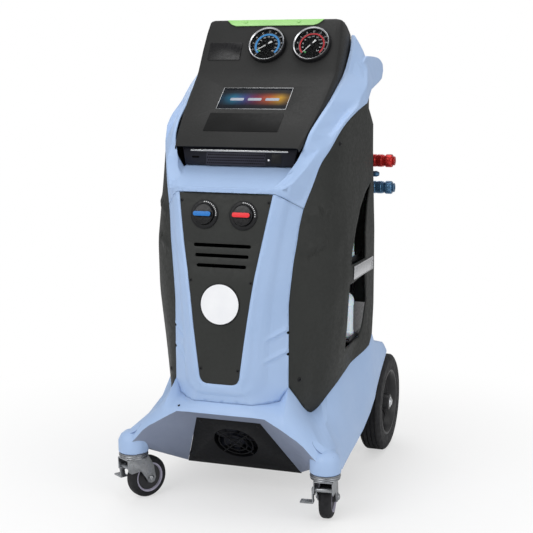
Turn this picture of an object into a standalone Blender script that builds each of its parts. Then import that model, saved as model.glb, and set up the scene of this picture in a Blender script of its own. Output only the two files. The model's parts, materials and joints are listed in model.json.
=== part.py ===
"""Air conditioning service station on wheels, built as an assembly of separate parts.

Units are metres, +Z is up and the control side faces -Y. The parts are first laid out in a
layout frame whose X origin is the plane of symmetry and whose Y origin is the front casters'
swivel line, and the finished assembly is then moved so that its footprint is centred on the
origin.
"""

import math

import bpy
import bmesh
from mathutils import Matrix, Vector

# Shared gaps and sheet thicknesses
SEAT_GAP = 0.0003
SEAM_GAP = 0.0008
MOULDING = 0.003
SHEET = 0.002
RABBET = MOULDING + 2 * SEAT_GAP
RABBET_REACH = 0.007
RABBET_CLEAR = 0.0005
RUN_GAP = 0.0001

# Overall layout
AXLE_Y = 0.577
REAR_WHEEL_R = 0.129
TYRE_T = 0.041
REAR_WHEEL_IN_X = 0.192
REAR_WHEEL_OUT_X = 0.250
CASTER_X = 0.2366
CASTER_R = 0.050
CASTER_TRAIL = 0.035
BOSS_R = 0.0355
BOSS_FOOT_Z = 0.118

# Side skin: plan shape is straight at the back and rounds in towards the front column
SIDE_X = 0.243
CORNER_DROP = 0.103
CORNER_START_Y = 0.27
CORNER_RUN = 0.236
CORNER_POWER = 3.16
LEAN_TOP = 0.022
LEAN_FOOT = 0.0295
SIDE_TOP_EDGE = [(0.0333, 0.490), (0.036, 0.532), (0.040, 0.586), (0.051, 0.661),
                 (0.064, 0.711), (0.080, 0.745), (0.105, 0.801), (0.139, 0.835),
                 (0.175, 0.871), (0.215, 0.893), (0.280, 0.9145), (0.3485, 0.931),
                 (0.371, 0.912), (0.392, 0.893), (0.404, 0.879)]
SIDE_FOOT_EDGE = [(0.0333, 0.2987), (0.036, 0.2922), (0.040, 0.2831), (0.046, 0.2724),
                  (0.052, 0.2617), (0.062, 0.2478), (0.070, 0.2400), (0.080, 0.2319),
                  (0.0925, 0.2258), (0.105, 0.2289), (0.122, 0.2416), (0.139, 0.2557),
                  (0.175, 0.2752), (0.215, 0.2900), (0.280, 0.3052), (0.3485, 0.3231),
                  (0.371, 0.3310), (0.392, 0.3560), (0.404, 0.4300)]
SIDE_COLUMNS = [0.0333, 0.036, 0.040, 0.046, 0.052, 0.062, 0.070, 0.080, 0.0925, 0.105, 0.122, 0.139,
                0.175, 0.215, 0.280, 0.3485, 0.371, 0.392, 0.404]
SIDE_ROWS = [0.22, 0.42, 0.62, 0.82]
EDGE_BAND = 0.010

# Front panel: a gently curved tapered plate
PANEL_TOP_Z = 0.739
PANEL_FOOT_Z = 0.3128
PANEL_FOOT_R = 0.015
PANEL_T = 0.0025
PANEL_WIDTHS = [(0.3128, 0.0449), (0.3877, 0.0546), (0.5455, 0.0759), (0.633, 0.0922), (0.740, 0.1106)]
SLOTS = [(0.624, 0.068), (0.6015, 0.0635), (0.579, 0.059)]
SLOT_H = 0.008

# Front foot crease between the column and the base
CREASE = [(0.0, -0.0325, 0.2655), (0.040, -0.0320, 0.2655), (0.0713, -0.0298, 0.265),
          (0.100, 0.0, 0.2635), (0.122, 0.0215, 0.2665)]

# Console hood: two flat plates joined by a bend, with deep side and top returns
BEND = Vector((0.0, 0.268, 1.003))
LOWER_PITCH = math.radians(38.9)
UPPER_PITCH = math.radians(60.5)
LOWER_STATIONS = [-0.2627, -0.2150, -0.1688, -0.1035, -0.0446, -0.0075]
UPPER_STATIONS = [0.0075, 0.0643, 0.1137, 0.1430]
HOOD_TOP = [(0.345, 1.1315), (0.360, 1.1305), (0.385, 1.122), (0.410, 1.111), (0.4245, 1.1045)]
HOOD_BACK = [(0.070, 0.829), (0.1085, 0.8575), (0.149, 0.881), (0.2015, 0.920), (0.2537, 0.9493),
             (0.293, 0.968), (0.334, 0.992), (0.378, 1.026), (0.408, 1.064), (0.426, 1.085),
             (0.428, 1.087), (0.430, 1.089), (0.431, 1.090), (0.432, 1.091), (0.433, 1.092)]
HOOD_HALF = [0.150, 0.159, 0.166, 0.173, 0.176, 0.178, 0.178, 0.177, 0.1745, 0.171,
             0.1695, 0.1695, 0.1695, 0.1690, 0.1685]
HOOD_R = 0.014

# Instruments on the upper plate
GAUGE_R = 0.0475
GAUGE_H = 0.013
GAUGES = {"low": (-0.005, 0.075), "high": (0.1075, 0.075)}
POINTER_REST = {"low": math.radians(214.0), "high": math.radians(228.0)}

# Valve knobs on the front panel
KNOB_Z = PANEL_TOP_Z - 0.0477
KNOB_X = 0.0462
KNOB_RING_R = 0.0325

# Receipt printer
PRINTER_FOOT_Z = 0.7945

# Front grille under the arch
GRILLE_TOP = (0.0780, 0.0095, 0.2130)
GRILLE_FOOT = (0.1448, 0.1155, 0.0678)
GRILLE_T = 0.002
FAN_R = 0.052

# Chassis
FLOOR_Z = 0.080
TRAY_X = 0.150
LEDGE_Z = 0.296
FLOOR_T = 0.004
WALL_X = 0.189
REAR_Y = 0.545
REAR_TOP_Z = 0.9555
AXLE_R = 0.008
LUG_OVERLAP = 0.048

# Service couplers on the right wall
COUPLER_Y = 0.500
COUPLER_Z = {"high": 0.783, "low": 0.715}
COUPLER_TIP_X = 0.270

# Bottles behind the opening of the right side panel
BOTTLE_X = 0.1825
BOTTLE_Y = 0.310
BOTTLE_R = 0.033
BOTTLE_H = 0.132
BOTTLE_HEADROOM = 0.060
BAY_SHELF_T = 0.003
BAY_LOWER_Z = 0.360
BAY_PITCH = BOTTLE_H + BOTTLE_HEADROOM + BAY_SHELF_T
BAY_SHELVES = {"upper": BAY_LOWER_Z + BAY_PITCH, "lower": BAY_LOWER_Z}
RACK_FOOT_Z = BAY_LOWER_Z - 0.020
RACK_HEAD_Z = BAY_SHELVES["upper"] + 0.029
BAY_SKIN_GAP = 0.0028875

# Inner shelf, just above the head of the bottle rack
SHELF_Z = RACK_HEAD_Z + 0.001

# Grip bar between the rear ears
EAR_IN_X = 0.179
EAR_OUT_X = 0.211
GRIP_Y = 0.570
GRIP_Z = 1.012
GRIP_R = 0.013


def clear_scene():
    for obj in list(bpy.data.objects):
        bpy.data.objects.remove(obj, do_unlink=True)


def smooth_step(value):
    t = min(max(value, 0.0), 1.0)
    return t * t * (3.0 - 2.0 * t)


def table(points, value):
    """Linear reading of a sorted list of (input, output) pairs."""
    if value <= points[0][0]:
        return points[0][1]
    for (a, fa), (b, fb) in zip(points, points[1:]):
        if value <= b:
            return fa + (fb - fa) * (value - a) / (b - a)
    return points[-1][1]


def material(name, rgb, metallic, roughness):
    mat = bpy.data.materials.new(name)
    mat.use_nodes = True
    shader = mat.node_tree.nodes["Principled BSDF"]
    shader.inputs["Base Color"].default_value = (*rgb, 1.0)
    shader.inputs["Metallic"].default_value = metallic
    shader.inputs["Roughness"].default_value = roughness
    mat.diffuse_color = (*rgb, 1.0)
    return mat


PALETTE = {
    "blue_moulding": ((0.40, 0.53, 0.80), 0.0, 0.45),
    "dark_sheet": ((0.036, 0.037, 0.036), 0.0, 0.5),
    "dark_moulding": ((0.034, 0.035, 0.034), 0.0, 0.5),
    "black_plastic": ((0.012, 0.013, 0.018), 0.0, 0.4),
    "green_trim": ((0.36, 0.70, 0.24), 0.0, 0.4),
    "white_badge": ((0.85, 0.85, 0.86), 0.0, 0.4),
    "frame_steel": ((0.05, 0.05, 0.055), 0.6, 0.5),
    "zinc": ((0.55, 0.57, 0.56), 0.9, 0.35),
    "rubber": ((0.012, 0.012, 0.013), 0.0, 0.7),
    "glass": ((0.75, 0.8, 0.82), 0.0, 0.05),
    "screen_glass": ((0.02, 0.05, 0.08), 0.0, 0.1),
    "red_metal": ((0.65, 0.02, 0.03), 0.8, 0.25),
    "blue_metal": ((0.04, 0.16, 0.42), 0.8, 0.25),
    "knob_blue": ((0.0, 0.14, 0.55), 0.0, 0.35),
    "knob_red": ((0.75, 0.01, 0.02), 0.0, 0.35),
    "white_bottle": ((0.62, 0.76, 0.84), 0.0, 0.4),
    "tank_paint": ((0.45, 0.47, 0.5), 0.2, 0.4),
    "pointer_white": ((0.9, 0.9, 0.9), 0.0, 0.4),
    "board_green": ((0.02, 0.16, 0.06), 0.0, 0.5),
}


class Shape:
    """Collects vertices and faces of one or more closed solids."""

    def __init__(self):
        self.verts = []
        self.faces = []

    def add(self, verts, faces):
        base = len(self.verts)
        self.verts.extend(Vector(v) for v in verts)
        self.faces.extend([base + i for i in face] for face in faces)
        return self

    def moved(self, matrix):
        self.verts = [matrix @ v for v in self.verts]
        return self

    def box(self, low, high):
        (x0, y0, z0), (x1, y1, z1) = low, high
        verts = [(x, y, z) for z in (z0, z1) for y in (y0, y1) for x in (x0, x1)]
        faces = [(0, 2, 3, 1), (4, 5, 7, 6), (0, 1, 5, 4), (2, 6, 7, 3), (0, 4, 6, 2), (1, 3, 7, 5)]
        return self.add(verts, faces)

    def lathe(self, profile, steps):
        """Full turn about +Z of a closed (radius, height) outline; radius 0 points become poles."""
        rings = []
        verts = []
        for radius, height in profile:
            if radius <= 0.0:
                rings.append([len(verts)])
                verts.append((0.0, 0.0, height))
            else:
                rings.append(list(range(len(verts), len(verts) + steps)))
                for k in range(steps):
                    angle = 2.0 * math.pi * k / steps
                    verts.append((radius * math.cos(angle), radius * math.sin(angle), height))
        faces = []
        count = len(profile)
        for i in range(count):
            a, b = rings[i], rings[(i + 1) % count]
            if len(a) == 1 and len(b) == 1:
                continue
            for k in range(steps):
                n = (k + 1) % steps
                corners = [a[k % len(a)], a[n % len(a)], b[n % len(b)], b[k % len(b)]]
                face = list(dict.fromkeys(corners))
                if len(face) > 2:
                    faces.append(face)
        return self.add(verts, faces)

    def rod(self, radius, start, end, steps=16):
        return self.lathe([(0.0, start), (radius, start), (radius, end), (0.0, end)], steps)

    def prism(self, outline, low, high):
        """Extrusion along +Z of a convex or simple outline given as (x, y) points."""
        count = len(outline)
        verts = [(x, y, low) for x, y in outline] + [(x, y, high) for x, y in outline]
        faces = [list(range(count))[::-1], list(range(count, 2 * count))]
        faces += [(k, (k + 1) % count, count + (k + 1) % count, count + k) for k in range(count)]
        return self.add(verts, faces)


def rounded_rect(width, height, radius, steps=4):
    """Counter-clockwise outline of a rounded rectangle centred on the origin."""
    points = []
    for cx, cy, start in ((1, -1, -90), (1, 1, 0), (-1, 1, 90), (-1, -1, 180)):
        for k in range(steps + 1):
            angle = math.radians(start + 90.0 * k / steps)
            points.append((cx * (width / 2 - radius) + radius * math.cos(angle),
                           cy * (height / 2 - radius) + radius * math.sin(angle)))
    return points


def frame_at(origin, x_axis, z_axis):
    """Matrix of a local frame: x_axis and z_axis are given, y completes it."""
    z_dir = Vector(z_axis).normalized()
    x_dir = Vector(x_axis).normalized()
    y_dir = z_dir.cross(x_dir)
    matrix = Matrix((x_dir, y_dir, z_dir)).transposed().to_4x4()
    matrix.translation = Vector(origin)
    return matrix


def make_object(name, shape, mat, pivot=None, smooth=True):
    mesh = bpy.data.meshes.new(name)
    origin = Vector(pivot) if pivot is not None else Vector((0, 0, 0))
    mesh.from_pydata([v - origin for v in shape.verts], [], shape.faces)
    obj = bpy.data.objects.new(name, mesh)
    obj.location = origin
    bpy.context.scene.collection.objects.link(obj)
    bm = bmesh.new()
    bm.from_mesh(mesh)
    bmesh.ops.recalc_face_normals(bm, faces=bm.faces)
    bm.to_mesh(mesh)
    bm.free()
    mesh.materials.append(MATERIALS[mat])
    if smooth:
        mesh.shade_smooth()
        mesh.set_sharp_from_angle(angle=math.radians(35.0))
    return obj


def carve(obj, shape, operation="DIFFERENCE"):
    """Cuts or adds a closed tool shape with an exact boolean."""
    tool = make_object(obj.name + "_tool", shape, "frame_steel", smooth=False)
    tool.hide_render = True
    tool.display_type = "WIRE"
    mod = obj.modifiers.new("carve", "BOOLEAN")
    mod.operation = operation
    mod.solver = "EXACT"
    mod.object = tool
    return obj


class Skin:
    """Open surface made of patches, thickened to a closed sheet."""

    def __init__(self):
        self.polys = []

    def grid(self, rows):
        for upper, lower in zip(rows, rows[1:]):
            for k in range(len(upper) - 1):
                self.poly([upper[k], upper[k + 1], lower[k + 1], lower[k]])
        return self

    def poly(self, points):
        kept = []
        for point in points:
            key = tuple(round(c, 6) for c in point)
            if key not in kept:
                kept.append(key)
        if len(kept) > 2:
            self.polys.append(kept)
        return self

    def mirrored(self):
        self.polys += [[(-x, y, z) for x, y, z in poly][::-1] for poly in list(self.polys)]
        return self

    def build(self, name, thickness, mat, inside):
        index = {}
        faces = []
        for poly in self.polys:
            faces.append([index.setdefault(p if p[0] != 0 else (0.0, p[1], p[2]), len(index))
                          for p in poly])
        shape = Shape()
        shape.verts = [Vector(v) for v in index]
        shape.faces = faces
        obj = make_object(name, shape, mat)
        centre = Vector(inside)
        votes = sum((p.center - centre).dot(p.normal) * p.area for p in obj.data.polygons)
        if votes < 0.0:
            obj.data.flip_normals()
        mod = obj.modifiers.new("thickness", "SOLIDIFY")
        mod.thickness = thickness
        mod.offset = -1.0
        mod.use_rim = True
        mod.use_even_offset = False
        return obj


def side_x(y, z):
    """Outer face of the side skin for a given depth and height."""
    run = max(0.0, CORNER_START_Y - y) / CORNER_RUN
    lean = LEAN_TOP * smooth_step((z - 0.58) / 0.26) * (1.0 - 0.68 * smooth_step((y - 0.15) / 0.26))
    along = smooth_step((y - 0.0333) / 0.07) * (1.0 - smooth_step((y - 0.27) / 0.12))
    foot = LEAN_FOOT * smooth_step((0.56 - z) / 0.34) * along
    return SIDE_X - CORNER_DROP * run ** CORNER_POWER - lean - foot


def side_point(y, z, lift=0.0):
    """Point on the side skin, moved outwards by lift along the normal."""
    step = 0.002
    dy = (side_x(y + step, z) - side_x(y - step, z)) / (2.0 * step)
    normal = Vector((1.0, -dy, 0.0)).normalized()
    return Vector((side_x(y, z), y, z)) + normal * lift


def panel_y(z):
    """Front face of the lower front panel."""
    h = z - 0.7
    return -0.0078 + 0.2107 * h + 0.2926 * h * h


def panel_half(z):
    return table(PANEL_WIDTHS, z)


def lerp(a, b, t):
    return Vector(a) * (1.0 - t) + Vector(b) * t


def edge_flange(y, z, dy, dz):
    """Step in behind the side skin's edge, then a flange that reaches under the skin."""
    return [side_point(y, z, -RABBET), side_point(y + dy, z + dz, -RABBET - RABBET_CLEAR)]


def side_edge_frame(y, z):
    """Outward normal and the direction along +Y on the side skin."""
    step = 0.002
    dy = (side_x(y + step, z) - side_x(y - step, z)) / (2.0 * step)
    return Vector((1.0, -dy, 0.0)).normalized(), Vector((dy, 1.0, 0.0)).normalized()


def side_panel(name, side):
    """Moulded side skin with a rear return that meets the chassis wall."""
    columns = []
    for y in SIDE_COLUMNS:
        foot, top = table(SIDE_FOOT_EDGE, y), table(SIDE_TOP_EDGE, y)
        heights = [foot, foot + EDGE_BAND] + [foot + (top - foot) * share for share in SIDE_ROWS]
        columns.append([side_point(y, z) for z in heights + [top - EDGE_BAND, top]])
    last = columns[-1]
    columns.append([p + Vector((-0.006, 0.0075, 0.0)) for p in last])
    columns.append([Vector((0.215, 0.4185, p.z)) for p in last])
    columns.append([Vector((WALL_X + SEAT_GAP, 0.4195, p.z)) for p in last])
    skin = Skin().grid(columns)
    if side < 0:
        skin.polys = [[(-x, y, z) for x, y, z in poly][::-1] for poly in skin.polys]
    return skin.build(name, MOULDING, "dark_moulding", (0.0, 0.30, 0.60))


BAY_UPPER = [(0.199, 0.5585), (0.318, 0.5585), (0.3205, 0.620), (0.345, 0.694), (0.381, 0.740),
             (0.3335, 0.7225), (0.279, 0.685), (0.235, 0.636), (0.2055, 0.588)]
BAY_LOWER = [(0.209, 0.354), (0.313, 0.362), (0.3296, 0.390), (0.340, 0.448), (0.327, 0.521),
             (0.194, 0.513)]


def side_panel_with_bay():
    """Right side skin with the two openings of the bottle bay."""
    obj = side_panel("side_panel_right", 1)
    for outline in (BAY_UPPER, BAY_LOWER):
        tool = Shape().prism(outline, 0.205, 0.290)
        tool.moved(Matrix(((0, 0, 1, 0), (1, 0, 0, 0), (0, 1, 0, 0), (0, 0, 0, 1))))
        carve(obj, tool)
    return obj


def column_station(inner_x, inner_z, outer, drop_dir, bulge, face):
    """One section of the column moulding from the panel ledge out to its outer edge."""
    depth = panel_y(inner_z)
    ledge = PANEL_T + SEAT_GAP
    inward = Vector(drop_dir).normalized()
    edge = Vector((inner_x, 0.0, inner_z))
    wall = edge - inward * SEAM_GAP
    crest = edge - inward * 0.007
    points = [edge + inward * 0.009 + Vector((0, depth + ledge, 0)),
              wall + Vector((0, depth + ledge, 0)),
              wall + Vector((0, depth + 0.0006, 0)),
              crest + Vector((0, depth, 0))]
    start = points[-1]
    for t, lift in ((0.28, 0.9), (0.40, 0.8), (0.54, 0.0), (0.78, 0.15)):
        points.append(lerp(start, outer, t) + Vector(face) * bulge * lift)
    return points + [Vector(outer)]


COLUMN_SEAM = [(0.062, 0.7390), (0.052, 0.685), (0.046, 0.648), (0.040, 0.610), (0.036, 0.560),
               (0.0333, 0.515)]
COLUMN_FOOT = [(0.4418, 0.462), (0.3935, 0.412), (0.3450, 0.370), (0.2985, 0.3400)]
CREASE_START = [(0.0, 0.3128), (0.0310, 0.3128), (0.0400, 0.3160), (0.0450, 0.3228), (0.0471, 0.3300)]


def seam_station(y, z, inner_z):
    """Column section that ends on the side panel's front edge."""
    _, along = side_edge_frame(y, z)
    outer = side_point(y, z) - along * SEAM_GAP
    return column_station(panel_half(inner_z), inner_z, outer, (-1, 0, 0), 0.004, (0.60, -0.80, 0.0))


def front_column():
    """U-shaped front moulding round the tapered panel."""
    seam = [(y, table(SIDE_TOP_EDGE, y), z_in) for y, z_in in COLUMN_SEAM]
    seam += [(SIDE_COLUMNS[0], z, z_in) for z, z_in in COLUMN_FOOT]
    rows = [seam_station(y, z, z_in) + edge_flange(y - SEAM_GAP * 0.6, z, RABBET_REACH, 0.0)
            for y, z, z_in in seam]
    skin = Skin().grid(rows)
    inward = [(0, 0, 1), (-0.15, 0, 0.99), (-0.55, 0, 0.83), (-0.86, 0, 0.5), (-0.98, 0, 0.2)]
    fronts = [(0, -1, 0), (0, -1, 0), (0.35, -0.93, 0), (0.70, -0.71, 0), (0.72, -0.69, 0)]
    base = []
    for (x, z), drop, outer, front in zip(CREASE_START, inward, CREASE, fronts):
        point = Vector(outer) + Vector((0, 0, SEAM_GAP))
        base.append(column_station(x, z, point, drop, 0.003, front))
    skin.grid([rows[-1][:-2]] + base[::-1])
    skin.mirrored()
    return skin.build("front_column", MOULDING, "blue_moulding", (0.0, 0.20, 0.50))


def waisted(head, low, t):
    """Point between the skin edge and the flared lip that first keeps to the skin, then flares."""
    point = lerp(head, low, t)
    flare = low.x - side_x(low.y, low.z)
    point.x = side_x(point.y, point.z) + flare * t * t
    return point


def skirt_rows():
    """Stations of the base skirt: flange, step, upper edge, two shoulders, lower edge."""
    lips = [(0.0, -0.0475, 0.2422), (0.045, -0.0470, 0.2420), (0.078, -0.0455, 0.2418),
            (0.106, -0.0425, 0.2400), (0.130, -0.0400, 0.2260)]
    lift = [0.0015, 0.0015, 0.002, 0.004, 0.006]
    tuck = [(0, 1, 0), (0, 1, 0), (-0.36, 0.93, 0), (-0.70, 0.68, -0.2), (-0.70, 0.68, -0.2)]
    rows = []
    for head, lip, rise, inward, start in zip(CREASE, lips, lift, tuck, CREASE_START):
        head = Vector(head)
        step = head + Vector(inward).normalized() * (RABBET + RABBET_CLEAR)
        reach = (Vector((start[0], panel_y(start[1]), start[1])) - head).normalized() * RABBET_REACH
        rows.append([step + reach, step, head, lerp(head, lip, 0.35) + Vector((0, 0, rise)),
                     lerp(head, lip, 0.75) + Vector((0, 0, rise)), Vector(lip)])
    lips = [(0.1430, -0.0388, 0.2185), (0.155, -0.0380, 0.2110), (0.166, -0.0383, 0.2042),
            (0.178, -0.0385, 0.1975),
            (0.196, -0.0365, 0.1830), (0.2110, -0.0345, 0.1660), (0.2260, -0.0320, 0.1500),
            (0.2420, -0.0330, 0.1400), (0.2590, -0.0250, 0.1320), (0.2700, -0.0030, 0.1260),
            (0.2690, 0.0260, 0.1215), (0.2640, 0.0700, 0.1210), (0.2600, 0.1300, 0.1250),
            (0.2575, 0.1950, 0.1310), (0.2550, 0.2750, 0.1430), (0.2535, 0.3450, 0.1640),
            (0.2530, 0.3920, 0.1880)]
    rises = [0.006, 0.006, 0.006, 0.006, 0.008, 0.011, 0.014, 0.016, 0.017, 0.016, 0.012, 0.008, 0.005,
             0.004, 0.003, 0.002, 0.002]
    ys = [y for y in SIDE_COLUMNS if y not in (0.036, 0.404)]
    for y, lip, rise in zip(ys, lips, rises):
        z = table(SIDE_FOOT_EDGE, y) - SEAM_GAP
        normal, along = side_edge_frame(y, z)
        head = side_point(y, z)
        corner = y == ys[0]
        if corner:
            head -= along * SEAM_GAP
        step, flange = edge_flange(y, z, 0.0, 0.0 if corner else RABBET_REACH)
        flare = normal * rise
        low = Vector(lip)
        plain = [lerp(head, low, 0.36) + flare * 0.6 + Vector((0, 0, rise * 0.5)),
                 lerp(head, low, 0.72) + flare + Vector((0, 0, rise))]
        waist = 0.55 * smooth_step((y - 0.07) / 0.08)
        high_shoulder = lerp(plain[0], waisted(head, low, 0.36), waist)
        low_shoulder = lerp(plain[1], waisted(head, low, 0.72), waist)
        rows.append([flange, step, head, high_shoulder, low_shoulder, low])
    return rows


def base_skirt():
    """Base moulding: arch lip, recess walls to the grille, flanks, wheel covers and leg bosses."""
    rows = skirt_rows()
    rear = []
    for y, top, outer, foot in ((0.4215, 0.333, 0.2425, 0.2120), (0.462, 0.322, 0.2460, 0.2430),
                                (0.502, 0.311, 0.2480, 0.2680), (0.522, 0.296, 0.2485, 0.2810)):
        rear.append([Vector((WALL_X + SEAT_GAP, y, top + 0.001)), Vector((0.225, y, top + 0.001)),
                     Vector((outer - 0.004, y, top - 0.001)), Vector((outer, y, top - 0.006)),
                     lerp((outer, y, top), (0.2515, y, foot), 0.7), Vector((0.2515, y, foot))])
    skin = Skin().grid(rows + rear)
    top_corner, foot_corner = Vector(GRILLE_TOP), Vector(GRILLE_FOOT)
    shift = Vector((0.0004, -0.0003, -0.0001))
    above = Vector((0.0, -0.0003, 0.0004))
    lips = [row[-1] for row in rows[:10]]
    grille = [Vector((x, *GRILLE_TOP[1:])) + above for x in (0.0, 0.040, 0.068)]
    grille.append(top_corner + shift + above)
    grille += [lerp(top_corner, foot_corner, t) + shift for t in (0.16, 0.32, 0.46, 0.62, 0.80, 0.98)]
    under = [[lip, lerp(lip, edge, 0.55) + Vector((0, 0, 0.006)), edge] for lip, edge in zip(lips, grille)]
    for foot in (rows[10][-1], rows[11][-1], Vector((0.2110, 0.0210, 0.1200))):
        under.append([foot, lerp(foot, grille[-1], 0.5), grille[-1]])
    skin.grid(under)
    skin.mirrored()
    obj = skin.build("base_skirt", MOULDING, "blue_moulding", (0.0, 0.25, 0.22))
    for side in (-1, 1):
        profile = [(0.0, BOSS_FOOT_Z), (BOSS_R - 0.003, BOSS_FOOT_Z), (BOSS_R, BOSS_FOOT_Z + 0.003),
                   (BOSS_R, 0.148), (BOSS_R - 0.006, 0.160), (BOSS_R - 0.016, 0.168), (0.0, 0.171)]
        boss = Shape().lathe(profile, 28)
        boss.moved(Matrix.Translation((side * CASTER_X, 0.0, 0.0)))
        carve(obj, boss, "UNION")
    return obj


def cheek_rows():
    """Sections of the right cheek: hood edge, face, crest, flank, side panel edge, step, flange."""
    inner = [(0.1115, -0.0050, 0.7405), (0.1140, -0.0035, 0.7512), (0.1340, 0.0300, 0.7640),
             (0.1405, 0.0580, 0.7880), (0.1475, 0.0790, 0.8150), (0.1580, 0.0895, 0.8480),
             (0.1620, 0.1010, 0.8690), (0.1695, 0.1420, 0.8980), (0.1762, 0.2170, 0.9380),
             (0.1797, 0.2790, 0.9750), (0.1805, 0.3300, 1.0020), (0.1800, 0.3870, 1.0590),
             (0.1735, 0.4240, 1.0960)]
    crest = [(0.1380, 0.0100, 0.7330), (0.1405, 0.0130, 0.7440), (0.1480, 0.0230, 0.7615),
             (0.1630, 0.0500, 0.7850), (0.1750, 0.0770, 0.8075), (0.1870, 0.1080, 0.8350),
             (0.1970, 0.1430, 0.8610), (0.2040, 0.1950, 0.8900), (0.2100, 0.2500, 0.9150),
             (0.2270, 0.3080, 0.9430), (0.2320, 0.3550, 0.9720), (0.2200, 0.4050, 1.0120),
             (0.1960, 0.4400, 1.0660)]
    edge_y = [0.062, 0.070, 0.080, 0.0925, 0.105, 0.122, 0.139, 0.175, 0.215, 0.280, 0.3485]
    rows = []
    for k, (a, b) in enumerate(zip(inner, crest)):
        a, b = Vector(a), Vector(b)
        if k < len(edge_y):
            y = edge_y[k]
            z = table(SIDE_TOP_EDGE, y) + SEAM_GAP
            edge = side_point(y, z)
            rise = smooth_step((y - 0.062) / 0.06)
            dy, dz = (1.0 - rise) * RABBET_REACH, 0.002 - rise * (RABBET_REACH + 0.002)
            step, flange = edge_flange(y, z, dy, dz)
        else:
            edge = [Vector((0.2290, 0.4150, 0.9680)), Vector((0.2190, 0.4700, 0.9850))][k - len(edge_y)]
            step = flange = edge
        face = lerp(a, b, 0.3) if k < 4 else lerp(a, b, 0.04) + Vector((0.006, 0.0, 0.0))
        if k == 0:
            top = seam_station(y, table(SIDE_TOP_EDGE, y), COLUMN_SEAM[0][1])
            a, face, b, shoulder = (top[i] + Vector((0, 0, SEAM_GAP)) for i in (3, 4, 6, 7))
            rows.append([a, face, b, shoulder, edge, step, flange])
            continue
        flank = lerp(b, edge, 0.6)
        if k < len(edge_y):
            flank = side_point(y - 0.008 * (1.0 - rise), z + 0.008 * rise)
        rows.append([a, face, b, flank, edge, step, flange])
    return rows


def upper_shroud():
    """Upper moulding: two cheeks, the lip and scooped pocket under the printer, and rear ears."""
    rows = cheek_rows()
    skin = Skin().grid(rows[:11])
    skin.grid([row[:5] for row in rows[10:]])
    last = rows[-1]
    back = [Vector((0.1715, 0.4300, 1.0930)), Vector((0.1730, 0.4420, 1.0750)),
            Vector((0.1740, 0.4540, 1.0550)), Vector((0.1745, 0.4700, 1.0250)),
            Vector((0.1750, 0.4860, 0.9880)), Vector((0.1750, 0.4870, 0.9860))]
    skin.grid([last[:5], back[:5]])
    spread = [0.0, 0.05, 0.085]
    seam = [Vector((x, -0.0050, 0.7405)) for x in spread] + [rows[0][0]]
    lip = [Vector((x, -0.0055, 0.7512)) for x in spread] + [rows[1][0]]
    front = [Vector((x, 0.0010, 0.7525)) for x in spread] + [Vector((0.108, 0.0035, 0.7526))]
    middle = [Vector((x, 0.0420, 0.7690)) for x in spread] + [Vector((0.122, 0.0440, 0.7710))]
    rear = [Vector((x, 0.0840, 0.7880)) for x in spread] + [Vector((0.1345, 0.0840, 0.7895))]
    seat = [[Vector((x, y, PRINTER_FOOT_Z - SEAT_GAP)) for x in spread + [0.1345]] for y in (0.1000, 0.1500)]
    skin.grid([seam, lip, front, middle, rear] + seat)
    skin.poly([lip[-1], rows[2][0], front[-1]])
    skin.poly([front[-1], rows[2][0], rows[3][0], middle[-1]])
    skin.poly([middle[-1], rows[3][0], rows[4][0], rear[-1]])
    skin.mirrored()
    obj = skin.build("upper_shroud", MOULDING, "blue_moulding", (0.0, 0.35, 0.80))
    outline = [(0.400, 0.966), (0.440, 0.9600), (0.470, 0.9590), (0.515, 0.9710), (0.560, 0.9800),
               (0.590, 0.9900), (0.6035, 1.0100), (0.597, 1.0260), (0.580, 1.0360), (0.545, 1.0420),
               (0.500, 1.0440), (0.430, 1.0450), (0.400, 1.030)]
    for side in (-1, 1):
        low, high = sorted((side * EAR_IN_X, side * EAR_OUT_X))
        ear = Shape().prism(outline, low, high)
        ear.moved(Matrix(((0, 0, 1, 0), (1, 0, 0, 0), (0, 1, 0, 0), (0, 0, 0, 1))))
        carve(obj, ear, "UNION")
    return obj


def rear_cowl():
    """Rear cover behind the console, from the hood's top down to the rear panel."""
    path = [(0.4215, 1.1010), (0.4320, 1.0935), (0.4440, 1.0740), (0.4580, 1.0430), (0.4810, 1.0040),
            (0.5110, 0.9800), (0.5455, REAR_TOP_Z - 0.0005)]
    half = [0.1663, 0.1663, 0.1690, 0.1705, 0.1715, 0.1720, 0.1720]
    rows = []
    for (y, z), w in zip(path, half):
        rows.append([Vector((-w, y - 0.012, z - 0.006)), Vector((-w, y - 0.002, z - 0.001)),
                     Vector((-w + 0.004, y, z)), Vector((0.0, y, z)), Vector((w - 0.004, y, z)),
                     Vector((w, y - 0.002, z - 0.001)), Vector((w, y - 0.012, z - 0.006))])
    return Skin().grid(rows).build("rear_cowl", MOULDING, "blue_moulding", (0.0, 0.30, 0.95))


def push_handle():
    """Grip bar between the two ears."""
    bar = Shape().rod(GRIP_R, -EAR_IN_X + SEAT_GAP, EAR_IN_X - SEAT_GAP, 20)
    bar.moved(frame_at((0, GRIP_Y, GRIP_Z), (0, 1, 0), (1, 0, 0)))
    return make_object("push_handle", bar, "black_plastic")


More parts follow.
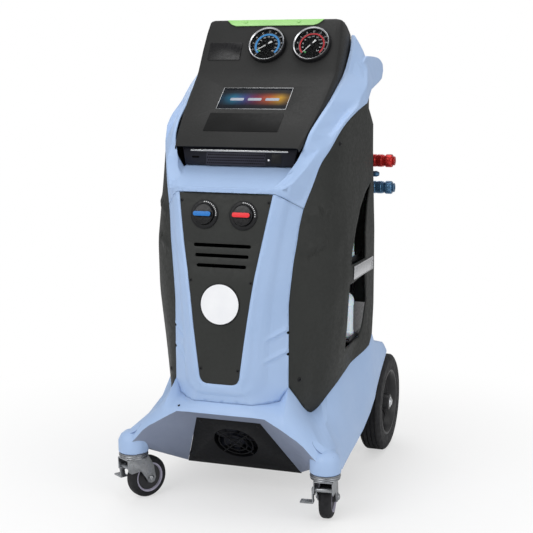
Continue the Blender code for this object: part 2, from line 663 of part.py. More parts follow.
def hood_sections():
    rows = []
    fronts = [(BEND.y + a * math.cos(LOWER_PITCH), BEND.z + a * math.sin(LOWER_PITCH))
              for a in LOWER_STATIONS]
    fronts += [(BEND.y + a * math.cos(UPPER_PITCH), BEND.z + a * math.sin(UPPER_PITCH))
               for a in UPPER_STATIONS]
    for front, back, half in zip(fronts + HOOD_TOP, HOOD_BACK, HOOD_HALF):
        base, rear = Vector((0, *front)), Vector((0, *back))
        depth = rear - base
        radius = min(HOOD_R, depth.length * 0.6)
        inward = depth.normalized() * radius
        right = [base + Vector((half - radius, 0, 0)),
                 base + Vector((half - radius * 0.29, 0, 0)) + inward * 0.29,
                 base + Vector((half, 0, 0)) + inward,
                 rear + Vector((half, 0, 0))]
        left = [Vector((-p.x, p.y, p.z)) for p in right]
        rows.append(left[::-1] + [base] + right)
    return rows


def plate_frame(pitch, x, along, lift):
    """Frame on a console plate: X right, Y up the plate, Z out of it; measured from the bend."""
    up = Vector((0, math.cos(pitch), math.sin(pitch)))
    out = Vector((0, -math.sin(pitch), math.cos(pitch)))
    return frame_at(BEND + Vector((x, 0, 0)) + up * along + out * lift, (1, 0, 0), out)


SCREEN_ALONG = -0.0935
KEYPAD_ALONG = -0.1790


def control_hood():
    """Bent console sheet with the opening for the display."""
    obj = Skin().grid(hood_sections()).build("control_hood", SHEET, "dark_sheet", (0.0, 0.34, 0.95))
    tool = Shape().prism(rounded_rect(0.174, 0.078, 0.003, 2), -0.010, 0.010)
    carve(obj, tool.moved(plate_frame(LOWER_PITCH, 0.0, SCREEN_ALONG, 0.0)))
    return obj


def plate_piece(name, mat, outline, pitch, x, along, lift, thickness):
    shape = Shape().prism(outline, 0.0, thickness)
    return make_object(name, shape.moved(plate_frame(pitch, x, along, lift)), mat)


def console_trim():
    """Display pane, blank keypad plate, label plate and the green strip on the top edge."""
    plate_piece("display_screen", "screen_glass", rounded_rect(0.184, 0.088, 0.003, 2), LOWER_PITCH,
                0.0, SCREEN_ALONG, -SHEET - SEAT_GAP - 0.004, 0.004)
    plate_piece("keypad_plate", "black_plastic", rounded_rect(0.182, 0.063, 0.002, 2), LOWER_PITCH,
                -0.004, KEYPAD_ALONG, SEAT_GAP, 0.0008)
    plate_piece("label_plate", "black_plastic", rounded_rect(0.084, 0.048, 0.002, 2), UPPER_PITCH,
                -0.1125, 0.0600, SEAT_GAP, 0.0012)
    top, foot, drop = 0.1245, 0.0995, 0.0165
    outline = [(-foot, -drop), (foot, -drop), (foot + 0.012, -drop * 0.72), (top, 0.0), (-top, 0.0),
               (-foot - 0.012, -drop * 0.72)]
    plate_piece("status_strip", "green_trim", outline, UPPER_PITCH, 0.0035, 0.1465, SEAT_GAP, 0.0025)


def gauge(side):
    """Pressure gauge: cup with bezel, pointer on its spindle, and lens."""
    x, along = GAUGES[side]
    frame = plate_frame(UPPER_PITCH, x, along, SEAT_GAP)
    cup = Shape().lathe([(0.0, 0.0), (GAUGE_R - 0.001, 0.0), (GAUGE_R, 0.001), (GAUGE_R, 0.009),
                         (GAUGE_R - 0.003, GAUGE_H), (GAUGE_R - 0.005, GAUGE_H), (GAUGE_R - 0.005, 0.0086),
                         (GAUGE_R - 0.0065, 0.0086), (GAUGE_R - 0.0065, 0.002), (0.0018, 0.002),
                         (0.0018, 0.0060), (0.0, 0.0060)], 24)
    make_object("gauge_case_" + side, cup.moved(frame), "black_plastic")
    lens = Shape().rod(GAUGE_R - 0.0053, 0.0089, 0.0103, 24)
    make_object("gauge_lens_" + side, lens.moved(frame), "glass")
    needle = Shape()
    outline = [(-0.014, -0.0028), (-0.004, -0.0016), (0.0, -0.0016), (0.030, -0.0004), (0.030, 0.0004),
               (0.0, 0.0016), (-0.004, 0.0016), (-0.014, 0.0028)]
    needle.prism(outline, 0.0064, 0.0074)
    turn = Matrix.Rotation(POINTER_REST[side], 4, "Z")
    needle.moved(frame @ turn)
    make_object("gauge_pointer_" + side, needle, "pointer_white",
                pivot=frame @ Vector((0, 0, 0.0064)), smooth=False)


def front_panel():
    """Tapered curved front plate with three slots."""
    heights = [PANEL_TOP_Z - 0.0008 - (PANEL_TOP_Z - 0.3308) * k / 8 for k in range(9)]
    rows = []
    for z in heights:
        w = panel_half(z)
        rows.append([(x * w, panel_y(z), z) for x in (-1, -0.5, 0, 0.5, 1)])
    for z, w in ((0.3228, 0.0450), (0.3160, 0.0400), (PANEL_FOOT_Z, 0.0310)):
        rows.append([(x * w, panel_y(z), z) for x in (-1, -0.5, 0, 0.5, 1)])
    skin = Skin().grid([[Vector(p) for p in row] for row in rows])
    obj = skin.build("front_panel", PANEL_T, "dark_moulding", (0.0, 0.30, 0.55))
    for z, half in SLOTS:
        tool = Shape().prism(rounded_rect(2 * half, SLOT_H, SLOT_H * 0.49, 5), -0.02, 0.02)
        carve(obj, tool.moved(frame_at((0, panel_y(z), z), (1, 0, 0), (0, -1, 0))))
    return obj


def panel_frame(x, z, lift):
    """Frame on the front panel: X right, Z out of the panel."""
    slope = 0.2107 + 2 * 0.2926 * (z - 0.7)
    out = Vector((0, -1.0, slope)).normalized()
    return frame_at(Vector((x, panel_y(z), z)) + out * lift, (1, 0, 0), out)


def valve_knob(side, x, mat):
    """Round escutcheon and a turning knob with a grip bar."""
    ring = Shape().lathe([(0.0, 0.0), (KNOB_RING_R, 0.0), (KNOB_RING_R, 0.002),
                          (KNOB_RING_R - 0.0015, 0.0035), (0.0245, 0.0035), (0.0245, 0.0015),
                          (0.0, 0.0015)], 24)
    frame = panel_frame(x, KNOB_Z, SEAT_GAP)
    make_object("knob_ring_" + side, ring.moved(frame), "black_plastic")
    knob = Shape().lathe([(0.0, 0.0018), (0.0235, 0.0018), (0.0235, 0.0075), (0.0215, 0.0095),
                          (0.0, 0.0095)], 24)
    obj = make_object("valve_knob_" + side, knob.moved(frame), mat, pivot=frame.translation)
    bar = Shape().prism(rounded_rect(0.043, 0.012, 0.0055, 4), 0.006, 0.0185)
    carve(obj, bar.moved(frame), "UNION")
    return obj


def badge_disc():
    disc = Shape().lathe([(0.0, 0.0), (0.0475, 0.0), (0.0475, 0.0012), (0.0, 0.0012)], 32)
    z = 0.494
    return make_object("badge_disc", disc.moved(panel_frame(0.0, z, SEAT_GAP)), "white_badge")


def printer():
    """Receipt printer slung under the console, with its tear bar."""
    shape = Shape()
    profile = [(0.086, PRINTER_FOOT_Z), (0.0895, 0.8335), (0.180, 0.8975), (0.205, 0.8975),
               (0.205, PRINTER_FOOT_Z)]
    half = [0.132, 0.1395, 0.1395, 0.1395, 0.132]
    verts = [(-w, y, z) for (y, z), w in zip(profile, half)]
    verts += [(w, y, z) for (y, z), w in zip(profile, half)]
    faces = [(0, 1, 2, 3, 4), (9, 8, 7, 6, 5)]
    faces += [(k, k + 5, (k + 1) % 5 + 5, (k + 1) % 5) for k in range(5)]
    shape.add(verts, faces)
    make_object("printer_case", shape, "black_plastic", smooth=False)
    bar = Shape().box((-0.1185, 0.0860, 0.8255), (0.1185, 0.0882, 0.8295))
    make_object("printer_tear_bar", bar, "zinc", smooth=False)


def grille_frame():
    """Frame of the front grille: X right, Y up the plate, Z out towards the front."""
    up = Vector((0, GRILLE_TOP[1] - GRILLE_FOOT[1], GRILLE_TOP[2] - GRILLE_FOOT[2]))
    out = Vector((1, 0, 0)).cross(up.normalized())
    return frame_at((0, GRILLE_FOOT[1], GRILLE_FOOT[2]), (1, 0, 0), out), up.length


def fan_grille():
    """Trapezoid grille plate with a round opening behind concentric guard rings."""
    frame, rise = grille_frame()
    plate = Shape().prism([(-GRILLE_FOOT[0], 0), (GRILLE_FOOT[0], 0), (GRILLE_TOP[0], rise),
                           (-GRILLE_TOP[0], rise)], -GRILLE_T, 0.0)
    obj = make_object("fan_grille", plate.moved(frame), "black_plastic", smooth=False)
    centre = frame @ Matrix.Translation((0, rise * 0.52, 0))
    carve(obj, Shape().rod(FAN_R + 0.002, -0.01, 0.01, 24).moved(centre))
    for radius in (0.014, 0.028, 0.042):
        ring = Shape().lathe([(radius - 0.0012, -0.0018), (radius + 0.0012, -0.0018),
                              (radius + 0.0012, -0.0002), (radius - 0.0012, -0.0002)], 20)
        carve(obj, ring.moved(centre), "UNION")
    for turn in (45, 135):
        spoke = Shape().box((-FAN_R - 0.004, -0.0014, -0.0019), (FAN_R + 0.004, 0.0014, -0.0001))
        carve(obj, spoke.moved(centre @ Matrix.Rotation(math.radians(turn), 4, "Z")), "UNION")
    return obj


def fan():
    """Cooling fan behind the grille: square duct and rotor."""
    frame, rise = grille_frame()
    centre = frame @ Matrix.Translation((0, rise * 0.52, 0))
    back = -GRILLE_T - SEAT_GAP
    plate = Shape().prism(rounded_rect(0.124, 0.124, 0.006, 3), back - 0.003, back)
    obj = make_object("fan_shroud", plate.moved(centre), "black_plastic", smooth=False)
    carve(obj, Shape().rod(FAN_R + 0.0055, back - 0.01, back + 0.01, 24).moved(centre))
    tube = Shape().lathe([(FAN_R + 0.0035, back - 0.026), (FAN_R + 0.0075, back - 0.026),
                          (FAN_R + 0.0075, back - 0.0015), (FAN_R + 0.0035, back - 0.0015)], 20)
    carve(obj, tube.moved(centre @ Matrix.Rotation(math.radians(4), 4, "Z")), "UNION")
    for turn, depth in ((2, 0.0252), (92, 0.0248)):
        strut = Shape().box((-FAN_R - 0.005, -0.003, back - depth),
                            (FAN_R + 0.005, 0.003, back - 0.0478 + depth))
        carve(obj, strut.moved(centre @ Matrix.Rotation(math.radians(turn), 4, "Z")), "UNION")
    boss = Shape().rod(0.021, back - 0.0270, back - 0.0215 - SEAT_GAP, 20)
    carve(obj, boss.moved(centre @ Matrix.Rotation(math.radians(7), 4, "Z")), "UNION")
    rotor = Shape().lathe([(0.0, back - 0.0215), (0.019, back - 0.0215), (0.019, back - 0.005),
                           (0.017, back - 0.003), (0.0, back - 0.003)], 18).moved(centre)
    fan_obj = make_object("fan_rotor", rotor, "black_plastic",
                          pivot=centre @ Vector((0, 0, back - 0.012)))
    for k in range(7):
        blade = Shape().box((0.016, -0.010, -0.0008), (FAN_R - 0.001, 0.010, 0.0008))
        twist = Matrix.Rotation(math.radians(28), 4, "X")
        spin = Matrix.Rotation(2 * math.pi * k / 7, 4, "Z")
        blade.moved(centre @ spin @ Matrix.Translation((0, 0, back - 0.0125)) @ twist)
        carve(fan_obj, blade, "UNION")


def chassis_frame():
    """Welded steel chassis: tray, axle lugs, rear side walls, ledges, bulkhead and shelf."""
    tray = Shape().box((-TRAY_X, 0.122, FLOOR_Z), (TRAY_X, REAR_Y, FLOOR_Z + FLOOR_T))
    obj = make_object("chassis_frame", tray, "frame_steel", smooth=False)
    carve(obj, Shape().box((-0.120, 0.150, FLOOR_Z + 0.001), (0.120, 0.153, 0.215)), "UNION")
    for side in (-1, 1):
        low_wall = sorted((side * (TRAY_X - 0.003), side * TRAY_X))
        wall = sorted((side * (WALL_X - 0.003), side * WALL_X))
        ledge = sorted((side * (TRAY_X - 0.002), side * (WALL_X - 0.0005)))
        lug = sorted((side * (TRAY_X - 0.0005), side * (TRAY_X + 0.006)))
        boxes = [((low_wall[0], 0.160, FLOOR_Z + 0.0005), (low_wall[1], REAR_Y - 0.0005, LEDGE_Z)),
                 ((wall[0], 0.405, LEDGE_Z - 0.003), (wall[1], REAR_Y, REAR_TOP_Z)),
                 ((ledge[0], 0.406, LEDGE_Z - 0.0025), (ledge[1], REAR_Y - 0.001, LEDGE_Z + 0.0005)),
                 ((lug[0], min(REAR_Y, AXLE_Y) - LUG_OVERLAP, REAR_WHEEL_R - 0.029),
                  (lug[1], AXLE_Y + 0.022, REAR_WHEEL_R + 0.031))]
        for low, high in boxes:
            carve(obj, Shape().box(low, high), "UNION")
    shelves = [((-WALL_X + 0.001, 0.300, SHELF_Z), (0.140, REAR_Y - 0.004, SHELF_Z + 0.003)),
               ((0.139, 0.400, SHELF_Z - 0.0002), (WALL_X - 0.001, REAR_Y - 0.005, SHELF_Z + 0.0028))]
    for low, high in shelves:
        carve(obj, Shape().box(low, high), "UNION")
    bore = Shape().rod(AXLE_R + 0.0002, -0.2, 0.2, 20)
    carve(obj, bore.moved(frame_at((0, AXLE_Y, REAR_WHEEL_R), (0, 1, 0), (1, 0, 0))))
    return obj


def rear_panel():
    """Plain rear cover plate, narrower beside the wheels."""
    wide, narrow = WALL_X - 0.0005, TRAY_X - 0.0005
    outline = [(-narrow, FLOOR_Z + 0.001), (narrow, FLOOR_Z + 0.001), (narrow, LEDGE_Z), (wide, LEDGE_Z),
               (wide, REAR_TOP_Z - 0.001), (-wide, REAR_TOP_Z - 0.001), (-wide, LEDGE_Z),
               (-narrow, LEDGE_Z)]
    plate = Shape().prism(outline, 0.0, SHEET)
    plate.moved(frame_at((0, REAR_Y + SEAT_GAP + SHEET, 0), (1, 0, 0), (0, -1, 0)))
    obj = make_object("rear_panel", plate, "dark_sheet", smooth=False)
    hole = Shape().box((0.063, REAR_Y - 0.01, 0.1995), (0.0975, REAR_Y + 0.01, 0.2505))
    carve(obj, hole)
    return obj


SWITCH_Y = REAR_Y + SEAT_GAP + SHEET


def power_inlet():
    """Mains inlet with the power rocker above it."""
    body = Shape().box((0.0635, SWITCH_Y - 0.030, 0.200), (0.0970, SWITCH_Y + 0.0002, 0.250))
    obj = make_object("mains_inlet", body, "black_plastic", smooth=False)
    flange = Shape().box((0.0590, SWITCH_Y + 0.0001, 0.1955), (0.1015, SWITCH_Y + 0.0030, 0.2545))
    carve(obj, flange, "UNION")
    carve(obj, Shape().box((0.0690, SWITCH_Y - 0.016, 0.2040), (0.0915, SWITCH_Y + 0.02, 0.2220)))
    carve(obj, Shape().box((0.0690, SWITCH_Y - 0.012, 0.2285), (0.0915, SWITCH_Y + 0.02, 0.2465)))
    for x in (0.0745, 0.0803, 0.0860):
        pin = Shape().box((x - 0.001, SWITCH_Y - 0.018, 0.2105), (x + 0.001, SWITCH_Y - 0.002, 0.2155))
        carve(obj, pin, "UNION")
    centre = Vector((0.08025, SWITCH_Y + 0.0005, 0.2375))
    rocker = Shape()
    outline = [(-0.0075, -0.0020), (-0.0060, -0.0055), (0.0060, -0.0055), (0.0075, -0.0020),
               (0.0080, 0.0040), (0.0, 0.0022), (-0.0080, 0.0010)]
    rocker.prism(outline, -0.0105, 0.0105)
    rocker.moved(frame_at(centre, (0, 0, 1), (-1, 0, 0)))
    make_object("power_rocker", rocker, "black_plastic", pivot=centre, smooth=False)


def rear_axle():
    """Through axle with a push-on cap outside each rear wheel."""
    end = REAR_WHEEL_OUT_X
    shape = Shape().lathe([(0.0, -end - 0.006), (0.010, -end - 0.004), (0.014, -end - 0.001),
                           (0.014, -end - SEAT_GAP), (AXLE_R, -end - SEAT_GAP), (AXLE_R, end + SEAT_GAP),
                           (0.014, end + SEAT_GAP), (0.014, end + 0.001), (0.010, end + 0.004),
                           (0.0, end + 0.006)], 12)
    shape.moved(frame_at((0, AXLE_Y, REAR_WHEEL_R), (0, 1, 0), (1, 0, 0)))
    return make_object("rear_axle", shape, "zinc")


def rear_wheel(name, side):
    """Solid tyre with a flat tread band on a dished rim."""
    half = (REAR_WHEEL_OUT_X - REAR_WHEEL_IN_X) / 2
    centre = Vector((side * (REAR_WHEEL_IN_X + half), AXLE_Y, REAR_WHEEL_R))
    tyre_in = REAR_WHEEL_R - TYRE_T
    shoulder = half - 0.003
    bulge, edge = REAR_WHEEL_R - 0.015, REAR_WHEEL_R - 0.0025
    profile = [(tyre_in, -shoulder), (bulge, -half), (edge, -half + 0.006), (REAR_WHEEL_R, -0.0190),
               (REAR_WHEEL_R, 0.0190), (edge, half - 0.006), (bulge, half), (tyre_in, shoulder)]
    turn = frame_at(centre, (0, 1, 0), (side, 0, 0))
    make_object("rear_tyre_" + name, Shape().lathe(profile, 24).moved(turn), "rubber", pivot=centre)
    rim_r = tyre_in - 0.0002
    bore = AXLE_R + RUN_GAP * 1.5
    lip, dish = tyre_in - 0.008, tyre_in - 0.014
    rim = [(bore, -half + 0.0005), (0.020, -half + 0.0005), (0.024, -0.012), (dish, -0.014),
           (lip, -shoulder), (rim_r, -shoulder), (rim_r, shoulder), (lip, shoulder),
           (dish, 0.004), (0.026, -0.002), (0.020, half), (bore, half)]
    make_object("rear_rim_" + name, Shape().lathe(rim, 24).moved(turn), "black_plastic", pivot=centre)


def caster(name, side, turn_deg):
    """Swivelling fork, wheel and brake pedal of one front caster."""
    pivot = Vector((side * CASTER_X, 0.0, 0.0))
    angle = math.radians(turn_deg)
    axle = Vector((math.cos(angle), math.sin(angle), 0.0))
    trail = Vector((-math.sin(angle), math.cos(angle), 0.0))
    local = Matrix((axle, trail, Vector((0, 0, 1)))).transposed().to_4x4()
    local.translation = pivot
    top = BOSS_FOOT_Z - SEAT_GAP
    ring = Shape().lathe([(0.0, 0.1030), (0.026, 0.1030), (0.033, 0.1065), (0.033, top - 0.003),
                          (0.031, top), (0.0, top)], 20)
    fork = make_object("caster_fork_" + name, ring.moved(local), "zinc", pivot=pivot)
    outline = [(-0.0300, 0.1040), (-0.0290, 0.0760), (-0.0200, 0.0700), (0.0060, 0.0720), (0.0225, 0.0490),
               (0.0270, 0.0405), (0.0350, 0.0375), (0.0430, 0.0405), (0.0475, 0.0500), (0.0420, 0.0800),
               (0.0300, 0.1040)]
    side_on = Matrix(((0, 0, 1, 0), (1, 0, 0, 0), (0, 1, 0, 0), (0, 0, 0, 1)))
    for low, high in ((-0.0225, -0.0200), (0.0200, 0.0225)):
        cheek = Shape().prism(outline, low, high).moved(local @ side_on)
        carve(fork, cheek, "UNION")
    crown = Shape().box((-0.0224, -0.0295, 0.1022), (0.0224, 0.0295, 0.1050))
    carve(fork, crown.moved(local), "UNION")
    hub = Vector((0, CASTER_TRAIL, CASTER_R))
    bolt = Shape().lathe([(0.0, -0.0285), (0.005, -0.0275), (0.0075, -0.0245), (0.0075, -0.0220),
                          (0.004, -0.0220), (0.004, 0.0220), (0.0075, 0.0220), (0.0075, 0.0245),
                          (0.005, 0.0275), (0.0, 0.0285)], 12)
    on_axle = frame_at(hub, (0, 1, 0), (1, 0, 0))
    carve(fork, bolt.moved(local @ on_axle), "UNION")
    wheel = Shape().lathe([(0.004 + RUN_GAP * 1.5, -0.0185), (0.012, -0.0185), (0.013, -0.011), (0.032, -0.011),
                           (0.036, -0.0155), (0.046, -0.0140), (CASTER_R, -0.0060), (CASTER_R, 0.0060),
                           (0.046, 0.0140), (0.036, 0.0155), (0.032, 0.011), (0.013, 0.011),
                           (0.012, 0.0185), (0.004 + RUN_GAP * 1.5, 0.0185)], 20)
    make_object("caster_wheel_" + name, wheel.moved(local @ on_axle), "rubber", pivot=local @ hub)
    pin = Vector((0, -0.0200, 0.0830))
    on_pin = frame_at(pin, (0, 1, 0), (1, 0, 0))
    carve(fork, Shape().rod(0.0030 + RUN_GAP, -0.030, -0.010, 14).moved(local @ on_pin))
    cam = Shape().lathe([(0.0, -0.0275), (0.0030, -0.0275), (0.0030, -0.0190), (0.0050, -0.0190),
                         (0.0050, 0.0190), (0.0, 0.0190)], 14)
    brake = make_object("caster_brake_" + name, cam.moved(local @ on_pin), "zinc", pivot=local @ pin)
    arm = [(-0.0260, 0.0880), (-0.0140, 0.0880), (-0.0080, 0.0500), (-0.0210, 0.0500)]
    lever = Shape().prism(arm, -0.0265, -0.0235).moved(local @ side_on)
    carve(brake, lever, "UNION")
    pad = Shape().box((-0.0540, -0.0215, 0.0495), (-0.0240, -0.0015, 0.0530))
    carve(brake, pad.moved(local), "UNION")


def coupler(side, mat):
    """Quick coupler: fixed stem on the wall and a sliding sleeve with a turning collar."""
    z = COUPLER_Z[side]
    start = WALL_X + SEAT_GAP
    frame = frame_at((start, COUPLER_Y, z), (0, 1, 0), (1, 0, 0))
    reach = COUPLER_TIP_X - start
    stem = Shape().lathe([(0.0, 0.0), (0.014, 0.0), (0.014, 0.012), (0.0095, 0.013),
                          (0.0095, reach - 0.004), (0.0115, reach - 0.004), (0.0115, reach),
                          (0.006, reach), (0.006, reach - 0.010), (0.0, reach - 0.010)], 16)
    make_object("coupler_stem_" + side, stem.moved(frame), mat)
    r = 0.0095 + RUN_GAP
    foot = 0.0200
    sleeve = Shape().lathe([(r, foot), (0.0155, foot), (0.0160, foot + 0.002), (0.0160, 0.0500),
                            (0.0140, 0.0525), (0.0140, 0.0560), (0.0165, 0.0590), (0.0165, reach - 0.0080),
                            (0.0150, reach - 0.0060), (r, reach - 0.0060)], 16)
    make_object("coupler_sleeve_" + side, sleeve.moved(frame), mat, pivot=frame.translation)


def service_port():
    z = (COUPLER_Z["high"] + COUPLER_Z["low"]) / 2
    start = WALL_X + SEAT_GAP
    frame = frame_at((start, COUPLER_Y, z), (0, 1, 0), (1, 0, 0))
    port = Shape().lathe([(0.0, 0.0), (0.009, 0.0), (0.009, 0.014), (0.006, 0.015), (0.006, 0.024),
                          (0.0075, 0.025), (0.0075, 0.034), (0.005, 0.040), (0.0, 0.040)], 12)
    return make_object("service_port", port.moved(frame), "blue_metal")


def bottle_rack():
    """Bracket with two shelves behind the side opening."""
    back = Shape().box((0.1460, 0.2450, RACK_FOOT_Z), (0.1490, 0.3750, RACK_HEAD_Z))
    obj = make_object("bottle_rack", back, "frame_steel", smooth=False)
    for low, high in (((0.1460, 0.3720), (WALL_X - 0.0035, 0.3750)),
                      ((WALL_X - 0.0062, 0.3720), (WALL_X - 0.0033, 0.4500))):
        carve(obj, Shape().box((*low, RACK_FOOT_Z), (*high, RACK_HEAD_Z)), "UNION")
    front = 0.2650
    reach = side_x(front, BAY_LOWER_Z) - MOULDING - BAY_SKIN_GAP
    for z in BAY_SHELVES.values():
        shelf = Shape().box((0.1470, front, z - BAY_SHELF_T), (reach - 0.0002, 0.3740, z))
        carve(obj, shelf, "UNION")
        rail = Shape().box((reach - 0.0020, front + 0.0005, z - BAY_SHELF_T + 0.0002),
                           (reach, 0.3735, z + 0.010))
        carve(obj, rail, "UNION")
    return obj


def bottle(side):
    """Oil bottle with a screw cap, standing on its shelf."""
    z = BAY_SHELVES[side] + SEAT_GAP
    r = BOTTLE_R
    h = BOTTLE_H
    profile = [(0.0, 0.0), (r - 0.003, 0.0), (r, 0.003), (r, h - 0.037), (r - 0.004, h - 0.027),
               (0.020, h - 0.020), (0.0215, h - 0.018), (0.0215, h - 0.002), (0.0195, h), (0.0, h)]
    shape = Shape().lathe(profile, 20).moved(Matrix.Translation((BOTTLE_X, BOTTLE_Y, z)))
    return make_object("oil_bottle_" + side, shape, "white_bottle", pivot=(BOTTLE_X, BOTTLE_Y, z))


def side_nameplate():
    """Blank framed bar across the bay, on the outside of the right skin."""
    low, high = 0.5225, 0.5545
    rows = []
    for y in (0.212, 0.240, 0.270, 0.310, 0.350, 0.386):
        rows.append([side_point(y, low, SEAT_GAP + 0.0015), side_point(y, high, SEAT_GAP + 0.0015)])
    return Skin().grid(rows).build("side_nameplate", 0.0015, "zinc", (0.0, 0.30, 0.54))


def inner_works():
    """Machinery on the chassis floor and shelf."""
    top = FLOOR_Z + FLOOR_T + SEAT_GAP
    scale = Shape().box((-0.085, 0.345, top), (0.085, 0.515, top + 0.018))
    make_object("tank_scale", scale, "zinc", smooth=False)
    z = top + 0.018 + SEAT_GAP
    outer = [(0.0, 0.0), (0.070, 0.0), (0.090, 0.020), (0.095, 0.045), (0.095, 0.260), (0.080, 0.295),
             (0.040, 0.315), (0.018, 0.318), (0.018, 0.345)]
    inner = [(0.008, 0.345), (0.008, 0.3115), (0.039, 0.3115), (0.0775, 0.2925), (0.092, 0.2590),
             (0.092, 0.0455), (0.088, 0.0225), (0.069, 0.003), (0.0, 0.003)]
    tank = Shape().lathe(outer + inner, 16).moved(Matrix.Translation((0, 0.430, z)))
    make_object("refrigerant_tank", tank, "tank_paint")
    pump = Shape().box((0.020, 0.160, top), (0.130, 0.320, top + 0.020))
    obj = make_object("vacuum_pump", pump, "frame_steel", smooth=False)
    body = Shape().rod(0.042, -0.070, 0.070, 24)
    carve(obj, body.moved(frame_at((0.075, 0.240, top + 0.055), (1, 0, 0), (0, 1, 0))), "UNION")
    comp = Shape().lathe([(0.0, top), (0.060, top), (0.062, top + 0.010), (0.062, top + 0.120),
                          (0.045, top + 0.150), (0.0, top + 0.160)], 16)
    make_object("compressor", comp.moved(Matrix.Translation((-0.080, 0.235, 0))), "frame_steel")
    shelf = SHELF_Z + 0.003 + SEAT_GAP
    drier = Shape().lathe([(0.0, shelf), (0.034, shelf), (0.038, shelf + 0.006), (0.038, shelf + 0.130),
                           (0.015, shelf + 0.145), (0.0, shelf + 0.145)], 16)
    make_object("filter_drier", drier.moved(Matrix.Translation((-0.110, 0.480, 0))), "tank_paint")
    block = Shape().box((-0.050, 0.420, shelf), (0.090, 0.500, shelf + 0.060))
    make_object("valve_manifold", block, "zinc", smooth=False)
    board = Shape().box((-0.090, 0.330, shelf), (0.090, 0.336, shelf + 0.120))
    make_object("control_board", board, "board_green", smooth=False)


def centre_footprint():
    """Moves the whole assembly so that its bounding box is centred in X and Y."""
    depsgraph = bpy.context.evaluated_depsgraph_get()
    low = Vector((math.inf, math.inf))
    high = Vector((-math.inf, -math.inf))
    for obj in bpy.data.objects:
        if obj.hide_render:
            continue
        mesh = obj.evaluated_get(depsgraph).to_mesh()
        for vert in mesh.vertices:
            point = obj.matrix_world @ vert.co
            low.x, low.y = min(low.x, point.x), min(low.y, point.y)
            high.x, high.y = max(high.x, point.x), max(high.y, point.y)
    for obj in bpy.data.objects:
        obj.location.x -= (low.x + high.x) / 2.0
        obj.location.y -= (low.y + high.y) / 2.0


clear_scene()
MATERIALS = {key: material(key, *value) for key, value in PALETTE.items()}
base_skirt()
front_column()
upper_shroud()
rear_cowl()
push_handle()
front_panel()
control_hood()
console_trim()
for gauge_side in GAUGES:
    gauge(gauge_side)
side_panel("side_panel_left", -1)
side_panel_with_bay()
side_nameplate()
valve_knob("low", -KNOB_X, "knob_blue")
valve_knob("high", KNOB_X, "knob_red")
badge_disc()
printer()
fan_grille()
fan()
chassis_frame()
rear_panel()
power_inlet()
rear_axle()
rear_wheel("left", -1)
rear_wheel("right", 1)
caster("left", -1, -32.0)
caster("right", 1, 6.0)
coupler("high", "red_metal")
coupler("low", "blue_metal")
service_port()
bottle_rack()
bottle("upper")
bottle("lower")
inner_works()
bpy.context.view_layer.update()
centre_footprint()
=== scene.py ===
"""Finished look of an air conditioning service station on wheels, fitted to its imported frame.

Places are written in the maker's layout: metres, X from the plane of symmetry, Y from the front
casters' swivel line, Z from the floor, and the operator stands on the -Y side. HOME carries that
layout into the frame.
"""

import json
import math

import bmesh
import bpy
from mathutils import Matrix, Vector
from mathutils.bvhtree import BVHTree
from mathutils.kdtree import KDTree

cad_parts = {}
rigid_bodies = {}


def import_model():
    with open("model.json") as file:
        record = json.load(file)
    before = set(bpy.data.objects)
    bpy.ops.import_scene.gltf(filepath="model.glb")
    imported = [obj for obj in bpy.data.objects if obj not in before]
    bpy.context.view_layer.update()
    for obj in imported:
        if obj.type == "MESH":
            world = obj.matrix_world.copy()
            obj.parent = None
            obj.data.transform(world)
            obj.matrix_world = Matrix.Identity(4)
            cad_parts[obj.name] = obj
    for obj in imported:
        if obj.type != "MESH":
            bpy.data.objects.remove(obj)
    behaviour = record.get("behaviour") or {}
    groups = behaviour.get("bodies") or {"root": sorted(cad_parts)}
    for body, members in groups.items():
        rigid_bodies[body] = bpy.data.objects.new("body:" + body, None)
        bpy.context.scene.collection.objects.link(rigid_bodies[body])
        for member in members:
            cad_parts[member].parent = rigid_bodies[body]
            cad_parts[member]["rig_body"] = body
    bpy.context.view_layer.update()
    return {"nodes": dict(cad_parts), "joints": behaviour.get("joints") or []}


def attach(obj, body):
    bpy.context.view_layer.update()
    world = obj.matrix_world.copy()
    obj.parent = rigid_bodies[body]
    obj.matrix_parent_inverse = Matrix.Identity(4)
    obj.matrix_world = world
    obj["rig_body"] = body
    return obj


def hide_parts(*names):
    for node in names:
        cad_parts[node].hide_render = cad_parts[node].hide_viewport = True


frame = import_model()

PIVOTS = {joint["name"]: Vector(joint["pos_m"]) for joint in frame["joints"] if joint.get("pos_m")}
SWIVELS = (PIVOTS["caster_swivel_left"], PIVOTS["caster_swivel_right"])
HOME = Matrix.Translation(((SWIVELS[0].x + SWIVELS[1].x) / 2, SWIVELS[0].y, 0.0))
CABINET = "cabinet"
EASING_PASSES = 26
BOTH_ENDS = (Matrix.Identity(4), Matrix.Rotation(math.pi, 4, "X"))
AXLE_ON_X = Matrix(((0, 0, 1, 0), (1, 0, 0, 0), (0, 1, 0, 0), (0, 0, 0, 1)))

# Console: two flat plates that meet in a bend
BEND = Vector((0.0, 0.268, 1.003))
LOWER_PITCH = math.radians(38.9)
UPPER_PITCH = math.radians(60.5)
SHEET = 0.002
SEAT = 0.0003
SCREEN_ALONG = -0.0935
SCREEN_W, SCREEN_H = 0.184, 0.088
WINDOW_W, WINDOW_H = 0.174, 0.078
GLOW_W, GLOW_H = 0.158, 0.068
TRIM = 0.0010
GAUGE_PLACES = {"low": (-0.005, 0.075), "high": (0.1075, 0.075)}
GAUGE_R = 0.0475
DIAL_TOP = 0.0028
DIAL_START, DIAL_SWEEP = 225.0, 270.0
POINTER_REST = {"low": 214.0, "high": 228.0}
ARC_IN = {"low": 0.0268, "high": 0.0280}

